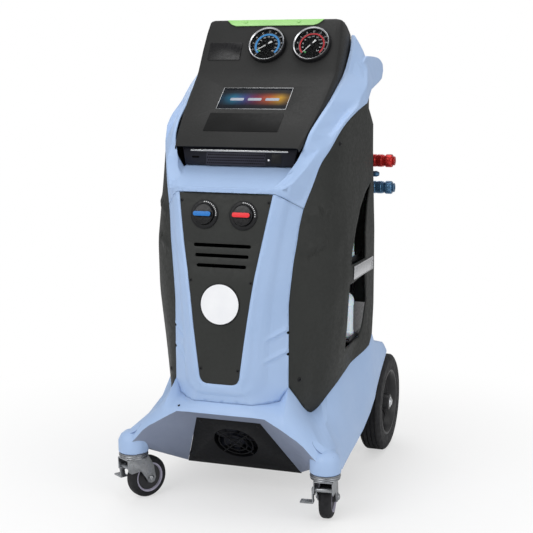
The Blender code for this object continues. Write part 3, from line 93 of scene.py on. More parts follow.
# Front panel, bowed from top to foot
BOW_Y, BOW_Z, BOW_SLOPE, BOW_CURVE = -0.0078, 0.7, 0.2107, 0.2926
KNOB_X = 0.0462
KNOB_Z = 0.6913
KNOB_DOTS = 11
BADGE_Z = 0.494
BADGE_R = 0.0475
PANEL_SCREWS = [(0.1035, 0.721), (0.0717, 0.545), (0.0447, 0.3466)]

# Front grille under the arch
GRILLE_TOP = (0.0780, 0.0095, 0.2130)
GRILLE_FOOT = (0.1448, 0.1155, 0.0678)

# Printer front
PRINTER_FOOT = (0.086, 0.7945)
PRINTER_HEAD = (0.0895, 0.8335)
HOLE_ROWS, HOLE_COLUMNS = 4, 28
HOLE_START, HOLE_STEP = (-0.0763, 0.7992), (0.0050, 0.0062)

# Wheels
CASTER_X = 0.2366
CASTER_R = 0.050
CASTER_TRAIL = 0.035
CASTER_TURN = {"left": -32.0, "right": 6.0}
SIDES = {"left": -1, "right": 1}
AXLE_Y = 0.577
REAR_R = 0.129
REAR_IN_X, REAR_OUT_X = 0.192, 0.250
RIM_RIBS = 8
GROOVE_DEPTH, GROOVE_STEP = 0.0022, 0.0110

# Right side fittings
WALL_X = 0.189
COUPLER_Y = 0.500
COUPLER_Z = {"high": 0.783, "low": 0.715}
COUPLER_REACH = 0.270 - WALL_X - SEAT
BOTTLES = {"upper": 0.5553, "lower": 0.3603}
BOTTLE_X, BOTTLE_Y, BOTTLE_R = 0.1825, 0.310, 0.033
CAP_RIBS = 36
BAR_OUT_X, BAR_LOW_Z, BAR_HIGH_Z = 0.25, 0.5237, 0.5533
BAR_YS = (0.2135, 0.2400, 0.2700, 0.3100, 0.3500, 0.3845)
REAR_FACE_Y = 0.5473

# Relief of the mouldings, on the right side; the left one is its mirror image
SHOULDER_Z = 0.72
GILLS = [[(0.0964, -0.0163, 0.4131), (0.1092, 0.0014, 0.4194), (0.1234, 0.0157, 0.4270),
          (0.1337, 0.0273, 0.4329)],
         [(0.0912, -0.0185, 0.3607), (0.1052, -0.0006, 0.3676), (0.1196, 0.0129, 0.3753),
          (0.1337, 0.0277, 0.3832)]]
GILL_X, GILL_ZS = 0.112, (0.422, 0.369)
NOTCHES = [(0.1375, 0.0318, 0.4251), (0.1375, 0.0318, 0.3756)]
SIDE_RIBS = [[(0.1698, 0.0659, 0.6826), (0.1875, 0.0885, 0.6925), (0.2047, 0.1140, 0.7013),
              (0.2120, 0.1340, 0.7060)],
             [(0.1589, 0.0498, 0.6006), (0.1800, 0.0720, 0.6140), (0.2006, 0.0979, 0.6255),
              (0.2090, 0.1180, 0.6330)]]
PANEL_RIM = [(0.104, 0.660), (0.097, 0.600), (0.088, 0.540), (0.081, 0.480), (0.077, 0.420),
             (0.073, 0.370), (0.065, 0.332), (0.048, 0.311), (0.022, 0.304)]
PANEL_RIM_Y = -0.05
SIDE_STUDS = [(0.2159, 0.1726, 0.8428), (0.1586, 0.0519, 0.3134)]
LEG_LINE = [(0.2041, -0.0030, 0.2025), (0.2083, -0.0122, 0.1943), (0.2123, -0.0169, 0.1841),
            (0.2204, -0.0173, 0.1739), (0.2328, -0.0198, 0.1675), (0.2465, -0.0230, 0.1635),
            (0.2603, -0.0174, 0.1600)]
ARCH_TOP_Z, ARCH_HALF_WIDTH = 0.24, 0.215
BASE_SCREW = (-0.105, -0.0311, 0.2501)
GRILLE_SCREWS = ((0.1288, 0.20), (-0.1288, 0.20), (0.0700, 0.93), (-0.0700, 0.93))
HOOD_CLIP_X = 0.1476

# Camera, from the straight edges of the photographed machine
CAMERA_PLACE = (0.93838, -2.44829, 0.99960)
CAMERA_TURN = (80.77, 0.0, 18.97)
PIXELS, FOCAL_PIXELS, SENSOR = 533, 1181.5, 36.0


def srgb(red, green, blue):
    """Linear colour from a plain 0-255 shade."""
    shades = [c / 255.0 for c in (red, green, blue)]
    return [c / 12.92 if c <= 0.04045 else ((c + 0.055) / 1.055) ** 2.4 for c in shades]


class Finish:
    """A procedural finish on Object coordinates, built up step by step."""

    def __init__(self, name, roughness, metallic=0.0, **fixed):
        self.mat = bpy.data.materials.new(name)
        self.mat.use_nodes = True
        self.tree = self.mat.node_tree
        self.shader = self.tree.nodes["Principled BSDF"]
        self.shader.inputs["Roughness"].default_value = roughness
        self.shader.inputs["Metallic"].default_value = metallic
        for socket, value in fixed.items():
            self.shader.inputs[socket.replace("_", " ")].default_value = value
        self.coords = self.tree.nodes.new("ShaderNodeTexCoord").outputs["Object"]
        self.height = None

    def node(self, kind, **values):
        made = self.tree.nodes.new(kind)
        for socket, value in values.items():
            made.inputs[socket.replace("_", " ")].default_value = value
        return made

    def link(self, source, target):
        self.tree.links.new(source, target)
        return self

    def stretched(self, scale, turn=(0.0, 0.0, 0.0)):
        mapping = self.node("ShaderNodeMapping", Scale=scale, Rotation=turn)
        self.link(self.coords, mapping.inputs["Vector"])
        return mapping.outputs["Vector"]

    def noise(self, scale, detail=2.0, vector=None):
        made = self.node("ShaderNodeTexNoise", Scale=scale, Detail=detail, Roughness=0.55)
        self.link(vector or self.coords, made.inputs["Vector"])
        return made.outputs["Fac"]

    def cells(self, scale, vector=None):
        made = self.node("ShaderNodeTexVoronoi", Scale=scale)
        self.link(vector or self.coords, made.inputs["Vector"])
        return made.outputs["Distance"]

    def spread(self, value, low, high, out_low=0.0, out_high=1.0):
        made = self.node("ShaderNodeMapRange", From_Min=low, From_Max=high, To_Min=out_low, To_Max=out_high)
        self.link(value, made.inputs["Value"])
        return made.outputs["Result"]

    def ramp(self, value, stops):
        made = self.tree.nodes.new("ShaderNodeValToRGB")
        slots = made.color_ramp.elements
        while len(slots) < len(stops):
            slots.new(0.5)
        for slot, (place, colour) in zip(slots, stops):
            slot.position = place
            slot.color = (*colour, 1.0)
        self.link(value, made.inputs["Fac"])
        return made.outputs["Color"]

    def blend(self, factor, first, second):
        made = self.tree.nodes.new("ShaderNodeMix")
        made.data_type = "RGBA"
        for socket, colour in zip((made.inputs[6], made.inputs[7]), (first, second)):
            if isinstance(colour, (list, tuple)):
                socket.default_value = (*colour, 1.0)
            else:
                self.link(colour, socket)
        self.link(factor, made.inputs[0])
        return made.outputs[2]

    def coloured(self, colour):
        return self.link(colour, self.shader.inputs["Base Color"])

    def mottled(self, light, dark, scale, contrast=0.18, vector=None):
        """Broad soft change between two near shades, as in moulded or painted stock."""
        soft = self.spread(self.noise(scale, 3.0, vector), 0.5 - contrast, 0.5 + contrast)
        return self.coloured(self.blend(soft, dark, light))

    def rough(self, low, high, scale, vector=None):
        varied = self.spread(self.noise(scale, 3.0, vector), 0.35, 0.65, low, high)
        return self.link(varied, self.shader.inputs["Roughness"])

    def raised(self, value, strength, depth):
        """Adds one layer of relief over the layers before it."""
        bump = self.node("ShaderNodeBump", Strength=strength, Distance=depth)
        self.link(value, bump.inputs["Height"])
        if self.height is not None:
            self.link(self.height, bump.inputs["Normal"])
        self.height = bump.outputs["Normal"]
        return self.link(self.height, self.shader.inputs["Normal"])


def blue_moulding():
    f = Finish("satin_blue_moulding", 0.46, IOR=1.49, Specular_IOR_Level=0.4)
    f.mottled((0.378, 0.512, 0.750), (0.350, 0.484, 0.722), 7.0)
    f.rough(0.42, 0.52, 60.0)
    f.raised(f.noise(1500.0, 2.0), 0.10, 0.0003)
    return f.raised(f.noise(38.0, 1.0), 0.05, 0.0006).mat


def groove_shade_blue():
    # Darker copy of the blue moulding: painted shade of a groove, laid on a rod that stands a little proud.
    f = Finish("shaded_blue_groove", 0.6)
    f.mottled((0.19, 0.27, 0.46), (0.15, 0.22, 0.40), 40.0)
    return f.raised(f.noise(900.0), 0.1, 0.0002).mat


def shaded_blue():
    """Painted shade for the inside of the arch: a darker, greyer copy of the blue moulding."""
    f = Finish("arch_painted_shade_blue", 0.55, Specular_IOR_Level=0.3)
    f.mottled((0.235, 0.275, 0.375), (0.215, 0.250, 0.345), 9.0)
    f.rough(0.50, 0.62, 60.0)
    return f.raised(f.noise(1500.0, 2.0), 0.12, 0.0003).mat


def dark_moulding():
    f = Finish("grained_dark_moulding", 0.55, Specular_IOR_Level=0.25)
    f.mottled((0.0265, 0.0280, 0.0262), (0.0215, 0.0230, 0.0215), 9.0)
    f.rough(0.50, 0.64, 120.0)
    f.raised(f.cells(620.0), 0.22, 0.0003)
    return f.raised(f.noise(240.0, 2.0), 0.08, 0.0004).mat


def coated_sheet():
    f = Finish("powder_coated_sheet", 0.52, Specular_IOR_Level=0.2)
    f.mottled((0.0245, 0.0248, 0.0246), (0.0200, 0.0203, 0.0202), 6.0)
    f.rough(0.46, 0.60, 200.0)
    f.raised(f.noise(950.0, 3.0), 0.22, 0.0003)
    return f.raised(f.noise(260.0, 1.0), 0.10, 0.0003).mat


def black_plastic(name, shade, rough, gloss=0.2, grain=0.14):
    f = Finish(name, rough, Specular_IOR_Level=gloss)
    f.mottled([c * 1.2 for c in shade], [c * 0.85 for c in shade], 18.0)
    f.rough(rough - 0.06, rough + 0.08, 150.0)
    return f.raised(f.noise(1300.0, 2.0), grain, 0.0002).mat


def zinc_plate():
    """Bright zinc plating with soft clouding and fine draw marks."""
    f = Finish("bright_zinc_plate", 0.32, 0.92)
    cloudy = f.ramp(f.noise(40.0, 3.0), [(0.30, (0.25, 0.26, 0.27)), (0.50, (0.33, 0.34, 0.355)),
                                        (0.72, (0.27, 0.285, 0.31))])
    f.coloured(cloudy)
    f.rough(0.26, 0.38, 160.0)
    return f.raised(f.noise(420.0, 3.0, f.stretched((1.0, 1.0, 0.08))), 0.06, 0.0002).mat


def turned_metal(name, shade, roughness, metallic=0.9, across=(1.0, 0.03, 0.03)):
    """Machined bar with fine tool marks round it."""
    f = Finish(name, roughness, metallic)
    f.mottled([min(1.0, c * 1.06) for c in shade], [c * 0.92 for c in shade], 60.0)
    f.rough(roughness - 0.05, roughness + 0.06, 200.0)
    return f.raised(f.noise(900.0, 1.0, f.stretched(across)), 0.04, 0.0001).mat


def tyre_rubber():
    f = Finish("tyre_rubber", 0.66, Specular_IOR_Level=0.35)
    f.mottled((0.012, 0.012, 0.014), (0.007, 0.007, 0.009), 30.0)
    f.rough(0.60, 0.80, 90.0)
    f.raised(f.noise(700.0, 3.0), 0.30, 0.0003)
    return f.raised(f.noise(90.0, 2.0), 0.12, 0.0004).mat


def wheel_plastic(name, shade):
    f = Finish(name, 0.42)
    f.mottled(shade, [c * 0.86 for c in shade], 60.0)
    f.rough(0.36, 0.5, 240.0)
    return f.raised(f.noise(1100.0), 0.1, 0.0002).mat


def clear_lens():
    """Thin clear cover: almost nothing but its gloss, with a few wiping marks in it."""
    f = Finish("clear_lens", 0.05, Alpha=0.08, IOR=1.49)
    f.mottled((0.030, 0.034, 0.036), (0.020, 0.024, 0.026), 25.0)
    return f.rough(0.02, 0.08, 80.0).mat


def ink(name, shade):
    f = Finish(name, 0.5)
    f.mottled(shade, [c * 0.9 for c in shade], 400.0)
    return f.raised(f.noise(2500.0), 0.12, 0.0001).mat


def green_trim():
    """Tinted lens of the status strip, with a faint painted glow: a small emission that lightens it, and no
    lamp behind it.
    """
    shade = srgb(158, 210, 130)
    f = Finish("green_status_lens_painted_glow", 0.35, Emission_Color=(*shade, 1.0), Emission_Strength=0.03)
    f.mottled(shade, srgb(150, 205, 122), 30.0)
    f.raised(f.noise(500.0, 1.0, f.stretched((6.0, 0.3, 0.3))), 0.12, 0.0003)
    return f.rough(0.30, 0.42, 90.0).mat


def white_enamel():
    f = Finish("white_enamel", 0.38)
    f.mottled((0.84, 0.85, 0.87), (0.79, 0.80, 0.83), 20.0)
    f.rough(0.30, 0.45, 130.0)
    return f.raised(f.noise(800.0, 2.0), 0.06, 0.0002).mat


def milky_bottle():
    """Blow moulded bottle that lets a little light through."""
    f = Finish("milky_bottle", 0.40, Subsurface_Weight=0.35, Subsurface_Scale=0.02)
    f.mottled((0.74, 0.83, 0.90), (0.66, 0.77, 0.86), 26.0)
    f.rough(0.34, 0.5, 90.0)
    return f.raised(f.noise(120.0, 2.0, f.stretched((1.0, 1.0, 0.25))), 0.14, 0.0006).mat


def painted_steel(name, shade, metallic=0.3):
    f = Finish(name, 0.48, metallic)
    f.mottled(shade, [c * 0.8 for c in shade], 12.0)
    f.rough(0.40, 0.58, 140.0)
    f.raised(f.noise(700.0, 3.0), 0.15, 0.0003)
    return f.raised(f.noise(45.0, 1.0), 0.06, 0.0006).mat


def circuit_board():
    """Green board with tracks and pads in the pattern."""
    f = Finish("circuit_board", 0.45)
    tracks = f.node("ShaderNodeTexBrick", Scale=60.0, Mortar_Size=0.06, Color1=(0.02, 0.15, 0.06, 1.0),
                    Color2=(0.015, 0.11, 0.05, 1.0), Mortar=(0.05, 0.27, 0.10, 1.0))
    f.link(f.stretched((1.0, 1.0, 1.0), (math.radians(90.0), 0.0, 0.0)), tracks.inputs["Vector"])
    f.coloured(tracks.outputs["Color"])
    f.rough(0.35, 0.6, 200.0)
    return f.raised(tracks.outputs["Fac"], 0.3, 0.0002).mat


def lit_display():
    """Dark screen with a soft glow that runs from teal to amber, on the pane's own UV map."""
    f = Finish("lit_display", 0.3, Specular_IOR_Level=0.08, Emission_Strength=1.0)
    place = f.tree.nodes.new("ShaderNodeUVMap")
    place.uv_map = "pane"
    split = f.tree.nodes.new("ShaderNodeSeparateXYZ")
    f.link(place.outputs["UV"], split.inputs["Vector"])
    across, up = split.outputs["X"], split.outputs["Y"]
    hue = f.ramp(across, [(0.00, (0.002, 0.03, 0.06)), (0.16, (0.01, 0.17, 0.30)), (0.34, (0.04, 0.05, 0.22)),
                          (0.52, (0.20, 0.01, 0.05)), (0.72, (0.52, 0.10, 0.01)), (0.90, (0.62, 0.33, 0.02)),
                          (1.00, (0.20, 0.10, 0.01))])
    band = f.ramp(up, [(0.00, (0.0, 0.0, 0.0)), (0.16, (0.02, 0.02, 0.02)), (0.42, (0.60, 0.60, 0.60)),
                       (0.58, (0.85, 0.85, 0.85)), (0.84, (0.05, 0.05, 0.05)), (1.00, (0.0, 0.0, 0.0))])
    glow = f.tree.nodes.new("ShaderNodeMix")
    glow.data_type = "RGBA"
    glow.blend_type = "MULTIPLY"
    glow.inputs[0].default_value = 1.0
    f.link(hue, glow.inputs[6]).link(band, glow.inputs[7])
    f.link(glow.outputs[2], f.shader.inputs["Emission Color"])
    f.mottled((0.010, 0.012, 0.016), (0.006, 0.008, 0.011), 40.0)
    return f.rough(0.25, 0.35, 60.0).mat


def display_button():
    shade = (0.20, 0.22, 0.26)
    f = Finish("display_button", 0.3, Emission_Color=(*shade, 1.0), Emission_Strength=0.8)
    f.mottled(shade, [c * 0.8 for c in shade], 200.0)
    return f.rough(0.25, 0.4, 300.0).mat


BLUE = blue_moulding()
# Darker, greyer copy of the blue: painted shade for the inside of the arch.
ARCH_PAINTED_SHADE = shaded_blue()
# Painted groove shade for the line along each leg.
GROOVE = groove_shade_blue()
DARK = dark_moulding()
COATED = coated_sheet()
SATIN_BLACK = black_plastic("satin_black_plastic", (0.0085, 0.0088, 0.0100), 0.42)
GLOSS_BLACK = black_plastic("gloss_black_plastic", (0.0050, 0.0050, 0.0060), 0.30, 0.3, 0.02)
NAVY_BLACK = black_plastic("printer_black_plastic", (0.0080, 0.0090, 0.0150), 0.40)
PLATE_BLACK = black_plastic("smooth_black_plate", (0.0085, 0.0086, 0.0088), 0.42, 0.12, 0.04)
GRILLE_BLACK = black_plastic("grille_black", (0.0045, 0.0048, 0.0060), 0.45, 0.15)
MESH_NAVY = black_plastic("speaker_screen", (0.0250, 0.0250, 0.0380), 0.45)
# Flat near-black: the own colour of the gauge dials and hood clips, and painted shade in the screw sockets,
# column notches, printer holes and feed slot.
FLAT_BLACK_AND_SHADE = black_plastic("flat_black_and_painted_shade", (0.0018, 0.0018, 0.0020), 0.7, 0.05)
ZINC = zinc_plate()
BRIGHT = turned_metal("bright_bezel_metal", (0.62, 0.63, 0.65), 0.24, 0.9, (0.4, 0.4, 0.4))
RED_METAL = turned_metal("anodised_red", (0.56, 0.030, 0.026), 0.24, 0.60)
BLUE_METAL = turned_metal("anodised_blue", (0.080, 0.19, 0.33), 0.24, 0.60)
RUBBER = tyre_rubber()
RIM_BLACK = wheel_plastic("rim_black_plastic", (0.016, 0.016, 0.018))
LILAC = wheel_plastic("caster_grey_ring", (0.42, 0.40, 0.50))
LENS = clear_lens()
WHITE_INK = ink("white_ink", (0.82, 0.83, 0.84))
BLUE_INK = ink("blue_ink", srgb(60, 150, 220))
RED_INK = ink("red_ink", srgb(200, 40, 50))
GREEN_INK = ink("green_ink", (0.08, 0.42, 0.12))
INLAY = {"low": ink("blue_knob_inlay", srgb(0, 110, 190)), "high": ink("red_knob_inlay", srgb(230, 35, 45))}
DIAL_INK = {"low": BLUE_INK, "high": RED_INK}
GREEN = green_trim()
ENAMEL = white_enamel()
MILKY = milky_bottle()
FRAME_PAINT = painted_steel("frame_paint", (0.045, 0.046, 0.050))
TANK_PAINT = painted_steel("tank_paint", (0.46, 0.48, 0.52))
BOARD = circuit_board()
DISPLAY = lit_display()
BUTTON = display_button()


def ring_outline(outer, inner, start, end, steps):
    """Flat outline of part of a ring, angles in degrees."""
    angles = [math.radians(start + (end - start) * k / steps) for k in range(steps + 1)]
    far = [(outer * math.cos(a), outer * math.sin(a)) for a in angles]
    near = [(inner * math.cos(a), inner * math.sin(a)) for a in reversed(angles)]
    return far + near


def rounded_rect(width, height, radius, steps=5):
    """Counter-clockwise outline of a rounded rectangle centred on the origin."""
    points = []
    for cx, cy, start in ((1, -1, -90), (1, 1, 0), (-1, 1, 90), (-1, -1, 180)):
        for k in range(steps + 1):
            angle = math.radians(start + 90.0 * k / steps)
            points.append((cx * (width / 2 - radius) + radius * math.cos(angle),
                           cy * (height / 2 - radius) + radius * math.sin(angle)))
    return points


def turned(profile, steps=48):
    """Solid turned about Z from (radius, height) points; off the axis it closes into a ring."""
    bm = bmesh.new()
    verts = [bm.verts.new((radius, 0.0, height)) for radius, height in profile]
    edges = [bm.edges.new(pair) for pair in zip(verts, verts[1:])]
    if profile[0][0] > 0.0:
        edges.append(bm.edges.new((verts[-1], verts[0])))
    bmesh.ops.spin(bm, geom=verts + edges, cent=(0, 0, 0), axis=(0, 0, 1), dvec=(0, 0, 0),
                   angle=2.0 * math.pi, steps=steps, use_merge=True)
    bmesh.ops.remove_doubles(bm, verts=bm.verts, dist=1e-6)
    bmesh.ops.recalc_face_normals(bm, faces=bm.faces)
    return bm


def both_faces(side):
    """Profile of a wheel part from its half on the plus side, given from the bore outwards."""
    return [(radius, -height) for radius, height in side] + side[::-1]


def slab(outline, low, high):
    """Flat outline raised from low to high."""
    bm = bmesh.new()
    face = bm.faces.new([bm.verts.new((x, y, low)) for x, y in outline])
    grown = bmesh.ops.extrude_face_region(bm, geom=[face])
    top = [item for item in grown["geom"] if isinstance(item, bmesh.types.BMVert)]
    bmesh.ops.translate(bm, verts=top, vec=(0.0, 0.0, high - low))
    bmesh.ops.recalc_face_normals(bm, faces=bm.faces)
    return bm


def block(size, centre=(0.0, 0.0, 0.0)):
    bm = bmesh.new()
    bmesh.ops.create_cube(bm, size=1.0)
    bmesh.ops.scale(bm, vec=size, verts=bm.verts)
    bmesh.ops.translate(bm, vec=centre, verts=bm.verts)
    return bm


def softened(bm, width, segments=2, angle=35.0):
    """Rounds the outward edges that are sharper than the angle."""
    limit = math.radians(angle)
    edges = [e for e in bm.edges if len(e.link_faces) == 2 and e.is_convex and e.calc_face_angle(0.0) > limit]
    bmesh.ops.bevel(bm, geom=edges, offset=width, offset_type="OFFSET", segments=segments, profile=0.5,
                    affect="EDGES", material=-1, clamp_overlap=True)
    return bm


def soft_plate(width, height, corner, low, high, edge, segments=2, steps=5):
    """Flat plate with round corners and softened edges, centred on Z."""
    return softened(slab(rounded_rect(width, height, corner, steps), low, high), edge, segments)


def mesh_of(curve):
    """The solid that a curve or text makes, welded."""
    holder = bpy.data.objects.new("pattern", curve)
    bpy.context.scene.collection.objects.link(holder)
    bpy.context.view_layer.update()
    mesh = bpy.data.meshes.new_from_object(holder)
    bm = bmesh.new()
    bm.from_mesh(mesh)
    bmesh.ops.remove_doubles(bm, verts=bm.verts, dist=1e-6)
    bpy.data.objects.remove(holder)
    bpy.data.curves.remove(curve)
    bpy.data.meshes.remove(mesh)
    return bm


def numeral(text, size, thickness):
    curve = bpy.data.curves.new("numeral", "FONT")
    curve.body = text
    curve.size = size
    curve.align_x = "CENTER"
    curve.align_y = "CENTER"
    curve.extrude = thickness / 2
    curve.resolution_u = 2
    return mesh_of(curve)


def rod_along(points, radius, tapered=True):
    """Smooth round rod through the points; its ends run out thin where it is tapered."""
    curve = bpy.data.curves.new("rod", "CURVE")
    curve.dimensions = "3D"
    curve.bevel_depth = radius
    curve.bevel_resolution = 3
    curve.use_fill_caps = True
    spline = curve.splines.new("NURBS")
    spline.points.add(len(points) - 1)
    for k, (slot, point) in enumerate(zip(spline.points, points)):
        slot.co = (*point, 1.0)
        ends = k in (0, len(points) - 1)
        slot.radius = 0.25 if tapered and ends else 1.0
    spline.order_u = 3
    spline.use_endpoint_u = True
    spline.resolution_u = 6
    bm = mesh_of(curve)
    bmesh.ops.recalc_face_normals(bm, faces=bm.faces)
    return bm


class Piece:
    """One finished piece: solids, each in its own finish, that ride on one body."""

    def __init__(self, name, body, slot, *replaced):
        self.name, self.body, self.slot, self.replaced = name, body, slot, replaced
        self.bm = bmesh.new()
        self.finishes = []

    def add(self, solid, finish, place=Matrix.Identity(4)):
        if finish not in self.finishes:
            self.finishes.append(finish)
        index = self.finishes.index(finish)
        for face in solid.faces:
            face.material_index = index
        bmesh.ops.transform(solid, matrix=place, verts=solid.verts)
        carrier = bpy.data.meshes.new("carrier")
        solid.to_mesh(carrier)
        solid.free()
        self.bm.from_mesh(carrier)
        bpy.data.meshes.remove(carrier)
        return self

    def finished(self, sharp=34.0):
        mesh = bpy.data.meshes.new(self.name)
        self.bm.to_mesh(mesh)
        self.bm.free()
        for finish in self.finishes:
            mesh.materials.append(finish)
        mesh.shade_smooth()
        mesh.set_sharp_from_angle(angle=math.radians(sharp))
        obj = bpy.data.objects.new(self.name, mesh)
        bpy.context.scene.collection.objects.link(obj)
        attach(obj, self.body)
        if self.replaced:
            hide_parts(*self.replaced)
        return obj


def remade(node, slot):
    """A piece that stands in for a CAD node and rides on that node's body."""
    return Piece(node + "_finished", frame["nodes"][node]["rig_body"], slot, node)


def welded(node):
    """A merged copy of a CAD solid, with its flat faces made whole."""
    bm = bmesh.new()
    bm.from_mesh(frame["nodes"][node].data)
    bmesh.ops.remove_doubles(bm, verts=bm.verts, dist=2e-5)
    bmesh.ops.dissolve_degenerate(bm, dist=1e-6, edges=bm.edges)
    bmesh.ops.dissolve_limit(bm, angle_limit=math.radians(0.4), verts=bm.verts, edges=bm.edges)
    return bm


def smoothed(solid, verts, factor):
    bmesh.ops.smooth_vert(solid, verts=verts, factor=factor,
                          use_axis_x=True, use_axis_y=True, use_axis_z=True)


def evened(solid, size, passes, sharp=30.0, fine=(), eased_above=9.0):
    """Cuts the faces to the given size and fairs the surface and its edge lines.

    The smoothing goes forwards and back, so nothing shrinks. fine lists (place, reach, size) where
    the skin needs smaller faces. Edge lines above eased_above are rounded further, so that long
    kinks become one curve.
    """
    spots = [(HOME @ Vector(place), reach, small) for place, reach, small in fine]

    def too_long(edge):
        length = edge.calc_length()
        if length > size:
            return True
        middle = (edge.verts[0].co + edge.verts[1].co) / 2
        return any(length > small and (middle - spot).length < reach for spot, reach, small in spots)

    bmesh.ops.triangulate(solid, faces=solid.faces)
    for e in solid.edges:
        e.seam = e.calc_face_angle(0.0) > math.radians(sharp)
    for _ in range(9):
        cut = [e for e in solid.edges if too_long(e)]
        if not cut:
            break
        bmesh.ops.subdivide_edges(solid, edges=cut, cuts=1)
        bmesh.ops.triangulate(solid, faces=[f for f in solid.faces if len(f.verts) > 3])
        bmesh.ops.dissolve_degenerate(solid, dist=2e-5, edges=solid.edges)
    inner, lines = [], []
    for v in solid.verts:
        hard = [e.other_vert(v) for e in v.link_edges if e.seam]
        if not hard:
            inner.append(v)
        elif len(hard) == 2:
            lines.append((v, hard[0], hard[1]))
    for factor in (0.5, -0.53) * passes:
        moved = [v.co.lerp((a.co + b.co) / 2, factor) for v, a, b in lines]
        smoothed(solid, inner, factor)
        for (v, _, _), place in zip(lines, moved):
            v.co = place
    eased = [line for line in lines if line[0].co.z > eased_above]
    for _ in range(EASING_PASSES if eased else 0):
        moved = [v.co.lerp((a.co + b.co) / 2, 0.5) for v, a, b in eased]
        for (v, _, _), place in zip(eased, moved):
            v.co = place
        smoothed(solid, inner, 0.12)
    return solid


def raised_along(solid, node, run, height, width, open_end=False, step=0.002):
    """Swells the outer skin into a soft ridge, or a furrow, along the run of points.

    It dies out at both ends of the run, or at the first one alone with open_end.
    """
    marks = []
    places = [Vector(place) for place in run]
    total = sum((b - a).length for a, b in zip(places, places[1:]))
    gone = 0.0
    for a, b in zip(places, places[1:]):
        count = max(1, int((b - a).length / step))
        for k in range(count):
            share = (gone + (b - a).length * k / count) / total
            point, normal = on_skin(node, a.lerp(b, k / count))
            rise = min(1.0, 3.0 * share) if open_end else math.sin(math.pi * share) ** 0.5
            marks.append((point, normal, rise))
        gone += (b - a).length
    tree = KDTree(len(marks))
    for k, mark in enumerate(marks):
        tree.insert(mark[0], k)
    tree.balance()
    solid.normal_update()
    near = []
    for v in solid.verts:
        _, k, distance = tree.find(v.co)
        if distance < 3.0 * width and v.normal.dot(marks[k][1]) > 0.3:
            v.co += v.normal * (height * marks[k][2] * math.exp(-((distance / width) ** 2)))
            if not any(e.seam for e in v.link_edges):
                near.append(v)
    for _ in range(5):
        smoothed(solid, near, 0.4)
    return solid


def dress(node, finish, slot, edge=0.0, sharp=34.0):
    """The CAD solid's own shape with rounded edges, smooth faces and its real finish."""
    solid = welded(node)
    if edge > 0.0:
        softened(solid, edge)
    return remade(node, slot).add(solid, finish).finished(sharp)


def repaint(node, finish):
    """Keeps the CAD solid and gives it its real finish."""
    for slot in frame["nodes"][node].material_slots:
        slot.material = finish


def frame_at(origin, x_axis, z_axis):
    """Local frame given in the layout: x_axis and z_axis are given, y completes it."""
    z_dir = Vector(z_axis).normalized()
    x_dir = Vector(x_axis).normalized()
    y_dir = z_dir.cross(x_dir)
    matrix = Matrix((x_dir, y_dir, z_dir)).transposed().to_4x4()
    matrix.translation = Vector(origin)
    return HOME @ matrix


def console_frame(pitch, x, along, lift=0.0):
    """Frame on a console plate: X right, Y up the plate, Z out of it, measured from the bend."""
    up = Vector((0.0, math.cos(pitch), math.sin(pitch)))
    out = Vector((0.0, -math.sin(pitch), math.cos(pitch)))
    return frame_at(BEND + Vector((x, 0.0, 0.0)) + up * along + out * lift, (1, 0, 0), out)


def panel_y(z):
    """Y of the bowed front panel at a height."""
    h = z - BOW_Z
    return BOW_Y + BOW_SLOPE * h + BOW_CURVE * h * h


def panel_frame(x, z, lift=0.0):
    """Frame on the front panel: X right, Z out of the panel."""
    out = Vector((0.0, -1.0, BOW_SLOPE + 2.0 * BOW_CURVE * (z - BOW_Z))).normalized()
    return frame_at(Vector((x, panel_y(z), z)) + out * lift, (1, 0, 0), out)


def turn_about_z(degrees):
    return Matrix.Rotation(math.radians(degrees), 4, "Z")


def round_axis(radius, degrees, height=0.0):
    """Move to a place at the given angle round Z, without turning."""
    angle = math.radians(degrees)
    return Matrix.Translation((radius * math.cos(angle), radius * math.sin(angle), height))


TREES = {}


def on_skin(node, place):
    """Nearest point and outward direction on a CAD solid, from a place in the layout."""
    if node not in TREES:
        mesh = frame["nodes"][node].data
        corners = [v.co for v in mesh.vertices]
        TREES[node] = BVHTree.FromPolygons(corners, [tuple(p.vertices) for p in mesh.polygons])
    point, normal, _, _ = TREES[node].find_nearest(HOME @ Vector(place))
    return point, normal


def seat_on(node, place, sink=0.0):
    """Frame on a CAD solid's surface, Z outwards."""
    point, normal = on_skin(node, place)
    matrix = normal.to_track_quat("Z", "Y").to_matrix().to_4x4()
    matrix.translation = point - normal * sink
    return matrix


def mirrored(places):
    return [(-x, y, z) for x, y, z in places]


def lowered(places, drop):
    return [(x, y, z - drop) for x, y, z in places]


def hexagon(radius):
    angles = [math.radians(60 * k) for k in range(6)]
    return [(radius * math.cos(a), radius * math.sin(a)) for a in angles]


def cap_screw(radius, height):
    """Domed screw head with a six-sided socket, drawn as a thin flat hexagon on the head that is painted dark
    as the socket's shade.
    """
    head = turned([(0.0, 0.0), (radius, 0.0), (radius, height * 0.35), (radius * 0.82, height * 0.8),
                   (radius * 0.5, height), (0.0, height)], 20)
    return head, slab(hexagon(radius * 0.42), height * 0.9, height * 1.01)


def button(radius, shoulder, height, chamfer):
    """Small round stud with a chamfered head."""
    return turned([(0.0, 0.0), (radius, 0.0), (radius, shoulder), (radius - chamfer, height),
                   (0.0, height)], 20)


def add_screw(piece, place, radius, height, finish):
    head, socket = cap_screw(radius, height)
    piece.add(head, finish, place)
    # Painted shade: the socket is a flat dark hexagon, not a hole.
    piece.add(socket, FLAT_BLACK_AND_SHADE, place)


